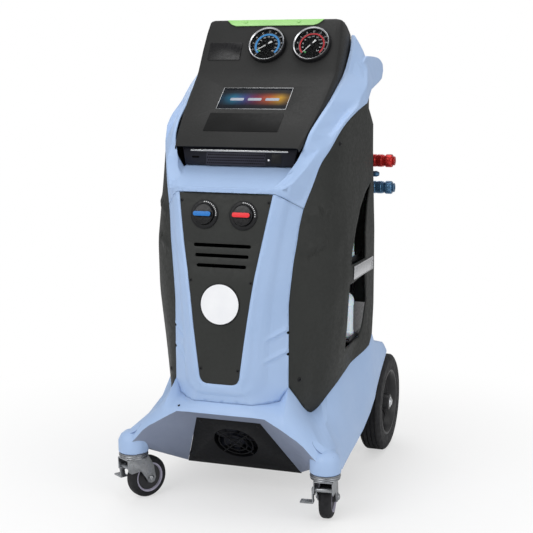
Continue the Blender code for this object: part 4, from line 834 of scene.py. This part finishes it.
def base_moulding():
    """Base, with painted shade on the inside of its arch: a darker, greyer copy of the blue."""
    solid = softened(welded("base_skirt"), 0.0007)
    piece = remade("base_skirt", "blue_moulding")
    piece.add(solid, BLUE)
    piece.finishes.append(ARCH_PAINTED_SHADE)
    piece.bm.normal_update()
    for face in piece.bm.faces:
        middle = face.calc_center_median()
        # Faces in the arch that look forward and down take the painted shade.
        under = face.normal.y < -0.2 and face.normal.z < -0.12
        if under and middle.z < ARCH_TOP_Z and abs(middle.x - HOME.translation.x) < ARCH_HALF_WIDTH:
            face.material_index = 1
    piece.finished()


def column_moulding():
    """Front column with its folded gills and the raised rim round the panel's foot."""
    fine = [((side * GILL_X, 0.0, z), 0.045, 0.0030) for side in (-1, 1) for z in GILL_ZS]
    fine += [((side * x, PANEL_RIM_Y, z), 0.030, 0.0045) for side in (-1, 1) for x, z in PANEL_RIM]
    solid = evened(welded("front_column"), 0.012, 12, fine=fine)
    for flip in (list, mirrored):
        for run in GILLS:
            raised_along(solid, "front_column", flip(run), 0.0050, 0.0055, True)
            raised_along(solid, "front_column", flip(lowered(run, 0.0075)), -0.0036, 0.0050, True)
    right = [(x, PANEL_RIM_Y, z) for x, z in reversed(PANEL_RIM)]
    raised_along(solid, "front_column", mirrored(right)[::-1] + right, 0.0018, 0.0075)
    remade("front_column", "blue_moulding").add(solid, BLUE).finished()


def side_moulding(node, flip):
    """Dark side moulding with its two soft slanted ribs."""
    fine = [(place, 0.035, 0.0040) for run in SIDE_RIBS for place in flip(run)]
    solid = evened(welded(node), 0.010, 24, fine=fine, eased_above=SHOULDER_Z)
    for run in SIDE_RIBS:
        raised_along(solid, node, flip(run), 0.0050, 0.0100)
        raised_along(solid, node, flip(lowered(run, 0.013)), -0.0030, 0.0100)
    remade(node, "dark_moulding").add(solid, DARK).finished()


def mouldings():
    """Large mouldings and sheets, with softened edges."""
    dress("rear_cowl", BLUE, "blue_moulding", 0.0007)
    base_moulding()
    column_moulding()
    shroud = evened(welded("upper_shroud"), 0.006, 30, eased_above=SHOULDER_Z)
    remade("upper_shroud", "blue_moulding").add(shroud, BLUE).finished()
    side_moulding("side_panel_left", mirrored)
    side_moulding("side_panel_right", list)
    dress("front_panel", DARK, "dark_moulding", 0.0006)
    dress("control_hood", COATED, "dark_sheet", 0.0005)
    dress("rear_panel", COATED, "dark_sheet", 0.0004)
    dress("push_handle", SATIN_BLACK, "black_plastic", 0.0)


def ridge(piece, node, places, radius, proud, finish, tapered=True):
    """Soft ridge that follows a CAD solid's surface and stands a little proud of it."""
    line = []
    for place in places:
        point, normal = on_skin(node, place)
        line.append(point - normal * (radius - proud))
    piece.add(rod_along(line, radius, tapered), finish)


def moulding_relief():
    """Notches, studs and the engraved line of the mouldings; the notches are flat dark discs and the line a
    darker rod, both painted shade.
    """
    notches = Piece("column_notch_shades", CABINET, "black_plastic")
    studs = Piece("side_studs", CABINET, "black_plastic")
    line = Piece("leg_lines", CABINET, "blue_moulding")
    for flip in (list, mirrored):
        for place in flip(NOTCHES):
            # Each notch is a flat dark disc on the skin: painted shade, not a cut.
            seat = seat_on("front_column", place, 0.0002)
            notches.add(button(0.0034, 0.0005, 0.0008, 0.0006), FLAT_BLACK_AND_SHADE, seat)
        skin = "side_panel_right" if flip is list else "side_panel_left"
        for place in flip(SIDE_STUDS):
            add_screw(studs, seat_on(skin, place, 0.0002), 0.0052, 0.0022, SATIN_BLACK)
        # The leg line: painted groove shade on a thin rod standing a little proud of the base.
        ridge(line, "base_skirt", flip(LEG_LINE), 0.0012, 0.0002, GROOVE, False)
    for piece in (notches, studs, line):
        piece.finished(60.0)


def panel_fittings():
    """Screws of the front panel, hood, base and grille."""
    screws = Piece("panel_screws", CABINET, "black_plastic")
    for x, z in PANEL_SCREWS:
        for side in (-1, 1):
            add_screw(screws, panel_frame(side * x, z), 0.0034, 0.0017, SATIN_BLACK)
    for side in (-1, 1):
        middle = (LOWER_PITCH + UPPER_PITCH) / 2
        clip = soft_plate(0.0135, 0.0050, 0.0024, 0.0, 0.0016, 0.0005)
        screws.add(clip, FLAT_BLACK_AND_SHADE, console_frame(middle, side * HOOD_CLIP_X, 0.0, -0.0002))
    add_screw(screws, seat_on("base_skirt", BASE_SCREW), 0.0030, 0.0014, SATIN_BLACK)
    place, rise = grille_frame()
    for x, up in GRILLE_SCREWS:
        add_screw(screws, place @ Matrix.Translation((x, rise * up, 0.0)), 0.0034, 0.0016, SATIN_BLACK)
    screws.finished()


def grille_frame():
    """Frame of the front grille: X right, Y up the plate, Z out towards the front."""
    up = Vector((0.0, GRILLE_TOP[1] - GRILLE_FOOT[1], GRILLE_TOP[2] - GRILLE_FOOT[2]))
    out = Vector((1, 0, 0)).cross(up.normalized())
    return frame_at((0.0, GRILLE_FOOT[1], GRILLE_FOOT[2]), (1, 0, 0), out), up.length


def grille_and_fan():
    dress("fan_grille", GRILLE_BLACK, "black_plastic", 0.0003)
    dress("fan_shroud", GRILLE_BLACK, "black_plastic", 0.0004)
    dress("fan_rotor", NAVY_BLACK, "black_plastic", 0.0003)


def display():
    """Lit screen pane in a thin trim frame, three plain buttons, blank plates and status strip."""
    place = console_frame(LOWER_PITCH, 0.0, SCREEN_ALONG, -SHEET - SEAT - 0.004)
    pane = soft_plate(SCREEN_W, SCREEN_H, 0.003, 0.0, 0.004, 0.0003)
    chart = pane.loops.layers.uv.new("pane")
    for face in pane.faces:
        for loop in face.loops:
            x, y, _ = loop.vert.co
            loop[chart].uv = (x / GLOW_W + 0.5, y / GLOW_H + 0.5)
    screen = Piece("display_screen_lit", CABINET, "screen_glass", "display_screen")
    screen.add(pane, DISPLAY, place).finished()
    buttons = Piece("display_buttons", CABINET, "screen_glass")
    for x in (-0.044, 0.0, 0.044):
        key = soft_plate(0.034, 0.0095, 0.0030, 0.0040, 0.0043, 0.0001)
        buttons.add(key, BUTTON, place @ Matrix.Translation((x, -0.001, 0.0)))
    buttons.finished()
    trim = Piece("display_trim", CABINET, "zinc")
    edge = console_frame(LOWER_PITCH, 0.0, SCREEN_ALONG)
    lie, stand = (WINDOW_W - 0.0006, TRIM, 0.0020), (TRIM, WINDOW_H - 0.0028, 0.0020)
    for side in (1, -1):
        bar = block(lie, (0.0, side * (WINDOW_H / 2 - 0.0009), -0.0008))
        trim.add(softened(bar, 0.0002), BRIGHT, edge)
    for side in (-1, 1):
        bar = block(stand, (side * (WINDOW_W / 2 - 0.0009), 0.0, -0.0008))
        trim.add(softened(bar, 0.0002), BRIGHT, edge)
    trim.finished()
    dress("keypad_plate", PLATE_BLACK, "black_plastic", 0.0002)
    dress("label_plate", GLOSS_BLACK, "black_plastic", 0.0003)
    dress("status_strip", GREEN, "green_trim", 0.0006)
    pegs = Piece("status_strip_pegs", CABINET, "green_trim")
    for x in (-0.071, 0.065):
        place = console_frame(UPPER_PITCH, x, 0.1400, SEAT + 0.0024)
        pegs.add(button(0.0040, 0.0020, 0.0028, 0.0008), GREEN, place)
    pegs.finished()


def gauge(side):
    """Round instrument: ringed case, printed dial, lens and white pointer."""
    x, along = GAUGE_PLACES[side]
    place = console_frame(UPPER_PITCH, x, along, SEAT)
    case = remade("gauge_case_" + side, "black_plastic")
    case.add(turned([(0.0, 0.0), (0.0465, 0.0), (GAUGE_R, 0.0010), (GAUGE_R, 0.0090), (0.0470, 0.0110),
                     (0.0458, 0.0126), (0.0446, 0.0130), (0.0430, 0.0126), (0.0428, 0.0086),
                     (0.0412, 0.0084), (0.0410, 0.0020), (0.0, 0.0020)], 72), SATIN_BLACK, place)
    case.add(turned([(0.0430, 0.0125), (0.0440, 0.0129), (0.0436, 0.0131), (0.0424, 0.0122), (0.0410, 0.0106),
                     (0.0412, 0.0104), (0.0428, 0.0104)], 72), BRIGHT, place)
    case.add(turned([(0.0, 0.0021), (0.0406, 0.0021), (0.0406, 0.0027), (0.0, 0.0027)], 64), FLAT_BLACK_AND_SHADE, place)
    case.finished()
    printed = (DIAL_TOP, DIAL_TOP + 0.0001)
    dial = Piece("gauge_dial_" + side, CABINET, "pointer_white")
    arc = ring_outline(0.0318, ARC_IN[side], DIAL_START, DIAL_START - DIAL_SWEEP, 60)
    dial.add(slab(arc, *printed), DIAL_INK[side], place)
    for k in range(51):
        reach = (0.0320, 0.0352) if k % 5 == 0 else (0.0320, 0.0338)
        width = 0.0006 if k % 5 == 0 else 0.0003
        tick = block((reach[1] - reach[0], width, 0.0001), (sum(reach) / 2, 0.0, DIAL_TOP + 0.00005))
        dial.add(tick, WHITE_INK, place @ turn_about_z(DIAL_START - DIAL_SWEEP * k / 50))
    for k in range(11):
        for radius, size, step in ((0.0374, 0.0060, 2), (0.0228, 0.0046, 30)):
            at = round_axis(radius, DIAL_START - DIAL_SWEEP * k / 10, DIAL_TOP + 0.00006)
            dial.add(numeral(str(k * step), size, 0.0001), WHITE_INK, place @ at)
    rest = POINTER_REST[side]
    dial.add(slab(ring_outline(0.0262, 0.0222, rest - 3.0, rest + 12.0, 4), *printed), GREEN_INK, place)
    spindle = turned([(0.0, DIAL_TOP), (0.0020, DIAL_TOP), (0.0018, 0.0058), (0.0, 0.0060)], 20)
    dial.add(spindle, BRIGHT, place)
    dial.finished()
    pointer = remade("gauge_pointer_" + side, "pointer_white")
    hand = place @ turn_about_z(rest)
    outline = [(-0.0140, -0.0028), (-0.0040, -0.0013), (0.0, -0.0015), (0.0290, -0.0004), (0.0300, 0.0),
               (0.0290, 0.0004), (0.0, 0.0015), (-0.0040, 0.0013), (-0.0140, 0.0028)]
    pointer.add(softened(slab(outline, 0.0064, 0.0074), 0.0002), WHITE_INK, hand)
    pointer.add(turned([(0.0, 0.0063), (0.0038, 0.0063), (0.0038, 0.0078), (0.0030, 0.0084),
                        (0.0, 0.0084)], 24),
                SATIN_BLACK, hand)
    pointer.finished()
    repaint("gauge_lens_" + side, LENS)


def valve_knob(side, x):
    """Plate with a row of dots, and the knob with its coloured grip bar."""
    place = panel_frame(x, KNOB_Z, SEAT)
    plate = remade("knob_ring_" + side, "black_plastic")
    plate.add(turned([(0.0, 0.0), (0.0322, 0.0), (0.0325, 0.0004), (0.0325, 0.0020), (0.0318, 0.0030),
                      (0.0308, 0.0035), (0.0250, 0.0035), (0.0245, 0.0030), (0.0245, 0.0015),
                      (0.0, 0.0015)], 64),
              SATIN_BLACK, place)
    for k in range(KNOB_DOTS):
        dot = turned([(0.0, 0.0034), (0.0012, 0.0034), (0.0012, 0.0038), (0.0, 0.0038)], 12)
        plate.add(dot, WHITE_INK, place @ round_axis(0.0283, 92.0 - 9.5 * k))
    plate.finished()
    knob = remade("valve_knob_" + side, "knob_blue" if side == "low" else "knob_red")
    knob.add(turned([(0.0, 0.0018), (0.0233, 0.0018), (0.0235, 0.0024), (0.0235, 0.0070), (0.0230, 0.0082),
                     (0.0218, 0.0092), (0.0205, 0.0095), (0.0, 0.0095)], 56), GLOSS_BLACK, place)
    grip = soft_plate(0.043, 0.012, 0.0055, 0.0090, 0.0182, 0.0010, 3, 6)
    knob.add(grip, GLOSS_BLACK, place)
    inlay = soft_plate(0.0415, 0.0104, 0.0048, 0.0176, 0.0185, 0.0003, 2, 6)
    knob.add(inlay, INLAY[side], place)
    knob.finished()


def badge():
    """Plain white disc in a dark rim."""
    place = panel_frame(0.0, BADGE_Z, SEAT)
    piece = remade("badge_disc", "white_badge")
    piece.add(turned([(0.0, 0.0), (BADGE_R, 0.0), (BADGE_R, 0.0008), (BADGE_R - 0.0006, 0.0012),
                      (BADGE_R - 0.0020, 0.0012), (BADGE_R - 0.0022, 0.0009), (0.0, 0.0009)], 80),
              SATIN_BLACK, place)
    piece.add(turned([(0.0, 0.0008), (BADGE_R - 0.0026, 0.0008), (BADGE_R - 0.0028, 0.0011),
                      (0.0, 0.0012)], 80),
              ENAMEL, place)
    piece.finished()


def printer():
    """Printer front: perforated speaker rows and a feed slot, drawn as flat dark discs and a dark plate that
    are painted shade, a lamp and a small cover.
    """
    dress("printer_case", NAVY_BLACK, "black_plastic", 0.0012)
    dress("printer_tear_bar", BRIGHT, "zinc", 0.0004)
    lean = Vector((0.0, PRINTER_HEAD[0] - PRINTER_FOOT[0], PRINTER_HEAD[1] - PRINTER_FOOT[1])).normalized()
    out = Vector((1, 0, 0)).cross(lean)

    def on_front(x, z):
        share = (z - PRINTER_FOOT[1]) / (PRINTER_HEAD[1] - PRINTER_FOOT[1])
        y = PRINTER_FOOT[0] + share * (PRINTER_HEAD[0] - PRINTER_FOOT[0])
        return frame_at((x, y, z), (1, 0, 0), out)

    face = Piece("printer_front_details", CABINET, "black_plastic")
    for row in range(HOLE_ROWS):
        for column in range(HOLE_COLUMNS):
            x = HOLE_START[0] + 0.0024 * (row % 2) + HOLE_STEP[0] * column
            # Each hole is a flat dark disc: painted shade, not an opening.
            hole = turned([(0.0, 0.0003), (0.0017, 0.0003), (0.0017, 0.0005), (0.0, 0.0005)], 6)
            face.add(hole, FLAT_BLACK_AND_SHADE, on_front(x, HOLE_START[1] + HOLE_STEP[1] * row))
    screen = soft_plate(0.1440, 0.0290, 0.0020, 0.0, 0.0004, 0.0001)
    face.add(screen, MESH_NAVY, on_front(-0.0080, 0.8085))
    # The feed slot is a flat dark plate: painted shade of the opening.
    slot = soft_plate(0.0180, 0.0044, 0.0021, 0.0, 0.0005, 0.0001)
    face.add(slot, FLAT_BLACK_AND_SHADE, on_front(-0.1066, 0.8119))
    lamp = turned([(0.0, 0.0), (0.0024, 0.0), (0.0021, 0.0008), (0.0, 0.0012)], 16)
    face.add(lamp, ENAMEL, on_front(0.0720, 0.8079))
    cover = soft_plate(0.0235, 0.0220, 0.0012, 0.0, 0.0008, 0.0003)
    face.add(cover, SATIN_BLACK, on_front(0.0905, 0.8108))
    face.finished()


def caster_frame(side):
    """Frame of a caster: X along its axle, Y towards its trailing wheel."""
    angle = math.radians(CASTER_TURN[side])
    axle = Vector((math.cos(angle), math.sin(angle), 0.0))
    return frame_at((SIDES[side] * CASTER_X, 0.0, 0.0), axle, (0, 0, 1))


def caster(side):
    """Zinc fork with its bearing rings, rubber wheel with a pale ring, and ribbed brake pedal."""
    local = caster_frame(side)
    fork = remade("caster_fork_" + side, "zinc")
    fork.add(softened(welded("caster_fork_" + side), 0.0005, 2, 50.0), ZINC)
    fork.add(turned([(0.0300, 0.1050), (0.0332, 0.1052), (0.0340, 0.1066), (0.0340, 0.1084),
                     (0.0318, 0.1092), (0.0318, 0.1100), (0.0346, 0.1106), (0.0350, 0.1118),
                     (0.0350, 0.1136), (0.0328, 0.1144), (0.0328, 0.1152), (0.0342, 0.1158),
                     (0.0342, 0.1172), (0.0300, 0.1174)], 56), ZINC, local)
    hub = local @ Matrix.Translation((0.0, CASTER_TRAIL, CASTER_R)) @ AXLE_ON_X
    for flip in BOTH_ENDS:
        washer = turned([(0.0, 0.0226), (0.0100, 0.0226), (0.0100, 0.0236), (0.0, 0.0236)], 24)
        fork.add(washer, ZINC, hub @ flip)
        fork.add(softened(slab(hexagon(0.0074), 0.0234, 0.0266), 0.0005), ZINC, hub @ flip)
    fork.finished()
    wheel = remade("caster_wheel_" + side, "rubber")
    tread = [(0.0352, 0.0146), (0.0400, 0.0146), (0.0440, 0.0138), (0.0472, 0.0116), (0.0492, 0.0084),
             (0.0500, 0.0050)]
    ring = [(0.0310, 0.0120), (0.0328, 0.0150), (0.0354, 0.0154), (0.0356, 0.0130)]
    rim = [(0.00415, 0.0185), (0.0116, 0.0185), (0.0124, 0.0176), (0.0132, 0.0115), (0.0180, 0.0104),
           (0.0290, 0.0100), (0.0312, 0.0112)]
    wheel.add(turned(both_faces(tread), 64), RUBBER, hub)
    wheel.add(turned(both_faces(ring), 64), LILAC, hub)
    wheel.add(turned(both_faces(rim), 56), RIM_BLACK, hub)
    wheel.finished()
    brake = remade("caster_brake_" + side, "zinc")
    brake.add(softened(welded("caster_brake_" + side), 0.0004, 2, 50.0), ZINC)
    for k in range(6):
        rib = block((0.0270, 0.0012, 0.0008), (-0.0390, -0.0195 + 0.0032 * k, 0.0533))
        brake.add(softened(rib, 0.0003), ZINC, local)
    for k in range(3):
        rib = block((0.0008, 0.0190, 0.0008), (-0.0500 + 0.0105 * k, -0.0115, 0.0533))
        brake.add(softened(rib, 0.0003), ZINC, local)
    brake.finished()


def rear_wheel(side):
    """Grooved tyre on a deep dished rim with ribs."""
    half = (REAR_OUT_X - REAR_IN_X) / 2
    sign = SIDES[side]
    place = frame_at((sign * (REAR_IN_X + half), AXLE_Y, REAR_R), (0, 1, 0), (sign, 0, 0))
    crown = []
    for k in range(4):
        middle = GROOVE_STEP * (k - 1.5)
        crown += [(REAR_R, middle - 0.0016), (REAR_R - GROOVE_DEPTH, middle - 0.0009),
                  (REAR_R - GROOVE_DEPTH, middle + 0.0009), (REAR_R, middle + 0.0016)]
    wall = [(0.0880, half - 0.0030), (0.0920, half - 0.0012), (0.0960, half - 0.0016),
            (0.1080, half - 0.0002), (0.1130, half), (0.1180, half - 0.0008), (0.1240, half - 0.0040),
            (0.1270, half - 0.0066), (REAR_R, half - 0.0100)]
    profile = [(r, -h) for r, h in wall] + crown + wall[::-1]
    tyre = remade("rear_tyre_" + side, "rubber")
    tyre.add(turned(profile, 96), RUBBER, place)
    tyre.finished(40.0)
    rim = remade("rear_rim_" + side, "black_plastic")
    rim.add(turned([(0.00815, -half + 0.0005), (0.0200, -half + 0.0005), (0.0240, -0.0120),
                    (0.0740, -0.0140), (0.0790, -half + 0.0040), (0.0878, -half + 0.0030),
                    (0.0878, half - 0.0030), (0.0860, half - 0.0016), (0.0830, half - 0.0018),
                    (0.0800, half - 0.0050), (0.0770, 0.0130), (0.0740, 0.0045), (0.0700, 0.0028),
                    (0.0600, 0.0016), (0.0560, 0.0026), (0.0500, 0.0012), (0.0300, -0.0012),
                    (0.0260, 0.0), (0.0235, 0.0120), (0.0205, half - 0.0010), (0.0190, half),
                    (0.00815, half)], 80), RIM_BLACK, place)
    for k in range(RIM_RIBS):
        rib = block((0.0460, 0.0030, 0.0060), (0.0500, 0.0, 0.0026))
        rim.add(softened(rib, 0.0008), RIM_BLACK, place @ turn_about_z(360.0 * k / RIM_RIBS))
    rim.finished()


def rear_axle():
    """Plated axle with its domed push-on caps."""
    axle = remade("rear_axle", "zinc")
    place = frame_at((0.0, AXLE_Y, REAR_R), (0, 1, 0), (1, 0, 0))
    reach = REAR_OUT_X + SEAT
    axle.add(turned([(0.0, -reach), (0.0080, -reach), (0.0080, reach), (0.0, reach)], 32), ZINC, place)
    for flip in BOTH_ENDS:
        cap = turned([(0.0, reach), (0.0134, reach), (0.0140, reach + 0.0007), (0.0128, reach + 0.0012),
                      (0.0108, reach + 0.0014), (0.0098, reach + 0.0034), (0.0070, reach + 0.0050),
                      (0.0, reach + 0.0056)], 40)
        axle.add(cap, BRIGHT, place @ flip)
    axle.finished()


def coupler(side, finish):
    """Anodised quick coupler: stem with its open nose, and sleeve with gripping rings."""
    place = frame_at((WALL_X + SEAT, COUPLER_Y, COUPLER_Z[side]), (0, 1, 0), (1, 0, 0))
    reach = COUPLER_REACH
    slot = "red_metal" if side == "high" else "blue_metal"
    stem = remade("coupler_stem_" + side, slot)
    stem.add(turned([(0.0, 0.0), (0.0136, 0.0), (0.0140, 0.0006), (0.0140, 0.0114), (0.0134, 0.0122),
                     (0.0095, 0.0130), (0.0095, reach - 0.0040), (0.0112, reach - 0.0038),
                     (0.0115, reach - 0.0032), (0.0115, reach - 0.0006), (0.0110, reach),
                     (0.0066, reach), (0.0060, reach - 0.0006), (0.0060, reach - 0.0100),
                     (0.0, reach - 0.0100)], 48), finish, place)
    stem.add(turned([(0.0, reach - 0.0099), (0.0022, reach - 0.0099), (0.0018, reach - 0.0040),
                     (0.0, reach - 0.0035)], 20), BRIGHT, place)
    stem.finished()
    rings = []
    for start in (0.0225, 0.0385):
        rings += [(0.0160, start), (0.0160, start + 0.0090), (0.0153, start + 0.0100),
                  (0.0153, start + 0.0125)]
    outer = [(0.0150, 0.0200), (0.0158, 0.0206), (0.0160, 0.0215)] + rings
    outer += [(0.0153, 0.0516), (0.0140, 0.0525), (0.0140, 0.0558), (0.0152, 0.0572),
              (0.0165, 0.0590), (0.0165, reach - 0.0086), (0.0160, reach - 0.0072), (0.0150, reach - 0.0060),
              (0.0100, reach - 0.0060)]
    sleeve = remade("coupler_sleeve_" + side, slot)
    sleeve.add(turned([(0.0100, 0.0200)] + outer, 56), finish, place)
    sleeve.finished()


def service_port():
    place = frame_at((WALL_X + SEAT, COUPLER_Y, sum(COUPLER_Z.values()) / 2), (0, 1, 0), (1, 0, 0))
    port = remade("service_port", "blue_metal")
    port.add(turned([(0.0, 0.0), (0.0088, 0.0), (0.0090, 0.0004), (0.0090, 0.0136), (0.0084, 0.0144),
                     (0.0060, 0.0150), (0.0060, 0.0240), (0.0072, 0.0248), (0.0075, 0.0256),
                     (0.0075, 0.0335), (0.0068, 0.0350), (0.0050, 0.0398), (0.0046, 0.0400),
                     (0.0, 0.0400)], 40), BLUE_METAL, place)
    port.finished()


def bottle(level):
    """Blow moulded oil bottle with a ribbed screw cap."""
    place = HOME @ Matrix.Translation((BOTTLE_X, BOTTLE_Y, BOTTLES[level]))
    piece = remade("oil_bottle_" + level, "white_bottle")
    r = BOTTLE_R
    piece.add(turned([(0.0, 0.0), (r - 0.0040, 0.0), (r - 0.0012, 0.0010), (r, 0.0040), (r, 0.0160),
                      (r - 0.0012, 0.0175), (r - 0.0012, 0.0800), (r, 0.0815), (r, 0.0940),
                      (r - 0.0010, 0.0990), (r - 0.0050, 0.1050), (0.0215, 0.1105), (0.0195, 0.1125),
                      (0.0, 0.1125)], 56), MILKY, place)
    piece.add(turned([(0.0, 0.1120), (0.0208, 0.1120), (0.0212, 0.1128), (0.0208, 0.1280), (0.0204, 0.1306),
                      (0.0190, 0.1319), (0.0, 0.1320)], 48), ENAMEL, place)
    for k in range(CAP_RIBS):
        rib = block((0.0008, 0.0012, 0.0130), (0.0210, 0.0, 0.1205))
        piece.add(rib, ENAMEL, place @ turn_about_z(360.0 * k / CAP_RIBS))
    piece.finished()


def nameplate():
    """Bright bar across the bay with a raised edge."""
    dress("side_nameplate", BRIGHT, "zinc", 0.0002)
    low, high = BAR_LOW_Z, BAR_HIGH_Z
    edge = Piece("side_nameplate_edge", CABINET, "zinc")
    runs = [[(BAR_OUT_X, y, z) for y in BAR_YS] for z in (low, high)]
    runs += [[(BAR_OUT_X, y, z) for z in (low, (low + high) / 2, high)] for y in (BAR_YS[0], BAR_YS[-1])]
    for run in runs:
        ridge(edge, "side_nameplate", run, 0.0012, 0.0007, BRIGHT, False)
    edge.finished()


def rear_fittings():
    """Mains inlet with its rocker switch, and the screws of the rear panel."""
    dress("mains_inlet", SATIN_BLACK, "black_plastic", 0.0003)
    dress("power_rocker", GLOSS_BLACK, "black_plastic", 0.0003)
    screws = Piece("rear_screws", CABINET, "zinc")
    panel_screws = [(x, z) for x in (-0.178, 0.178) for z in (0.325, 0.520, 0.715, 0.925)]
    panel_screws += [(-0.138, 0.110), (0.138, 0.110)]
    rows = [(x, REAR_FACE_Y, z, 0.0040, 0.0020) for x, z in panel_screws]
    rows += [(0.08025, REAR_FACE_Y + 0.0030, z, 0.0022, 0.0010) for z in (0.1995, 0.2505)]
    for x, y, z, radius, height in rows:
        add_screw(screws, frame_at((x, y, z), (-1, 0, 0), (0, 1, 0)), radius, height, ZINC)
    screws.finished()


def inner_works():
    """Chassis, rack and the machinery seen through the openings."""
    for node in ("chassis_frame", "bottle_rack"):
        dress(node, FRAME_PAINT, "frame_steel", 0.0004)
    for node in ("vacuum_pump", "compressor"):
        dress(node, FRAME_PAINT, "frame_steel", 0.0010)
    for node in ("refrigerant_tank", "filter_drier"):
        dress(node, TANK_PAINT, "tank_paint", 0.0008)
    for node in ("tank_scale", "valve_manifold"):
        dress(node, ZINC, "zinc", 0.0010)
    repaint("control_board", BOARD)


def floor_finish():
    """Pale floor that keeps the shadow near the machine and runs out to white."""
    f = Finish("pale_studio_floor", 0.75, Specular_IOR_Level=0.15)
    speck = f.node("ShaderNodeTexNoise", Scale=30.0)
    f.link(f.coords, speck.inputs["Vector"])
    f.coloured(f.spread(speck.outputs["Fac"], 0.0, 1.0, 0.90, 0.92))
    distance = f.node("ShaderNodeVectorMath")
    distance.operation = "LENGTH"
    f.link(f.coords, distance.inputs[0])
    fade = f.node("ShaderNodeMapRange", From_Min=0.30, From_Max=1.25, To_Min=0.55)
    fade.interpolation_type = "SMOOTHSTEP"
    f.link(distance.outputs["Value"], fade.inputs["Value"])
    path = f.node("ShaderNodeLightPath")
    seen = f.node("ShaderNodeMath")
    seen.operation = "MULTIPLY"
    f.link(path.outputs["Is Camera Ray"], seen.inputs[0]).link(fade.outputs["Result"], seen.inputs[1])
    white = f.node("ShaderNodeEmission")
    mix = f.node("ShaderNodeMixShader")
    f.link(seen.outputs["Value"], mix.inputs["Fac"])
    f.link(f.shader.outputs["BSDF"], mix.inputs[1]).link(white.outputs["Emission"], mix.inputs[2])
    f.link(mix.outputs["Shader"], f.tree.nodes["Material Output"].inputs["Surface"])
    return f.mat


def studio_floor():
    bm = bmesh.new()
    bmesh.ops.create_grid(bm, x_segments=8, y_segments=8, size=8.0)
    mesh = bpy.data.meshes.new("studio_floor")
    bm.to_mesh(mesh)
    bm.free()
    mesh.materials.append(floor_finish())
    obj = bpy.data.objects.new("studio_floor", mesh)
    bpy.context.scene.collection.objects.link(obj)


def soft_lamp(name, place, aim, size, watts):
    lamp = bpy.data.lights.new(name, "AREA")
    lamp.size = size
    lamp.energy = watts
    obj = bpy.data.objects.new(name, lamp)
    obj.location = place
    obj.rotation_euler = (Vector(aim) - Vector(place)).to_track_quat("-Z", "Y").to_euler()
    bpy.context.scene.collection.objects.link(obj)


def studio_light():
    """Even studio light: a wide lamp in front and above, fills at both sides, pale surroundings."""
    soft_lamp("front_lamp", (-1.1, -2.8, 2.5), (0.0, 0.0, 0.55), 2.4, 62.0)
    soft_lamp("right_lamp", (2.6, -1.2, 1.5), (0.0, 0.0, 0.55), 1.8, 22.0)
    soft_lamp("top_lamp", (0.2, 0.4, 3.0), (0.0, 0.0, 0.5), 2.2, 26.0)
    soft_lamp("rear_lamp", (-1.4, 2.6, 1.9), (0.0, 0.0, 0.6), 2.0, 20.0)
    world = bpy.data.worlds.new("pale_surroundings")
    bpy.context.scene.world = world
    world.use_nodes = True
    tree = world.node_tree
    around = tree.nodes["Background"]
    around.inputs["Color"].default_value = (1.0, 1.0, 1.0, 1.0)
    around.inputs["Strength"].default_value = 0.42
    white = tree.nodes.new("ShaderNodeBackground")
    white.inputs["Color"].default_value = (1.0, 1.0, 1.0, 1.0)
    path = tree.nodes.new("ShaderNodeLightPath")
    mix = tree.nodes.new("ShaderNodeMixShader")
    tree.links.new(path.outputs["Is Camera Ray"], mix.inputs["Fac"])
    tree.links.new(around.outputs["Background"], mix.inputs[1])
    tree.links.new(white.outputs["Background"], mix.inputs[2])
    tree.links.new(mix.outputs["Shader"], tree.nodes["World Output"].inputs["Surface"])
    bpy.context.scene.view_settings.view_transform = "Standard"


def camera():
    lens = bpy.data.cameras.new("photo_view")
    lens.sensor_width = SENSOR
    lens.lens = FOCAL_PIXELS * SENSOR / PIXELS
    obj = bpy.data.objects.new("photo_view", lens)
    obj.location = HOME @ Vector(CAMERA_PLACE)
    obj.rotation_euler = [math.radians(a) for a in CAMERA_TURN]
    bpy.context.scene.collection.objects.link(obj)
    bpy.context.scene.camera = obj


mouldings()
moulding_relief()
panel_fittings()
grille_and_fan()
display()
gauge("low")
gauge("high")
valve_knob("low", -KNOB_X)
valve_knob("high", KNOB_X)
badge()
printer()
for side_name in SIDES:
    caster(side_name)
    rear_wheel(side_name)
rear_axle()
coupler("high", RED_METAL)
coupler("low", BLUE_METAL)
service_port()
bottle("upper")
bottle("lower")
nameplate()
rear_fittings()
inner_works()
studio_floor()
studio_light()
camera()
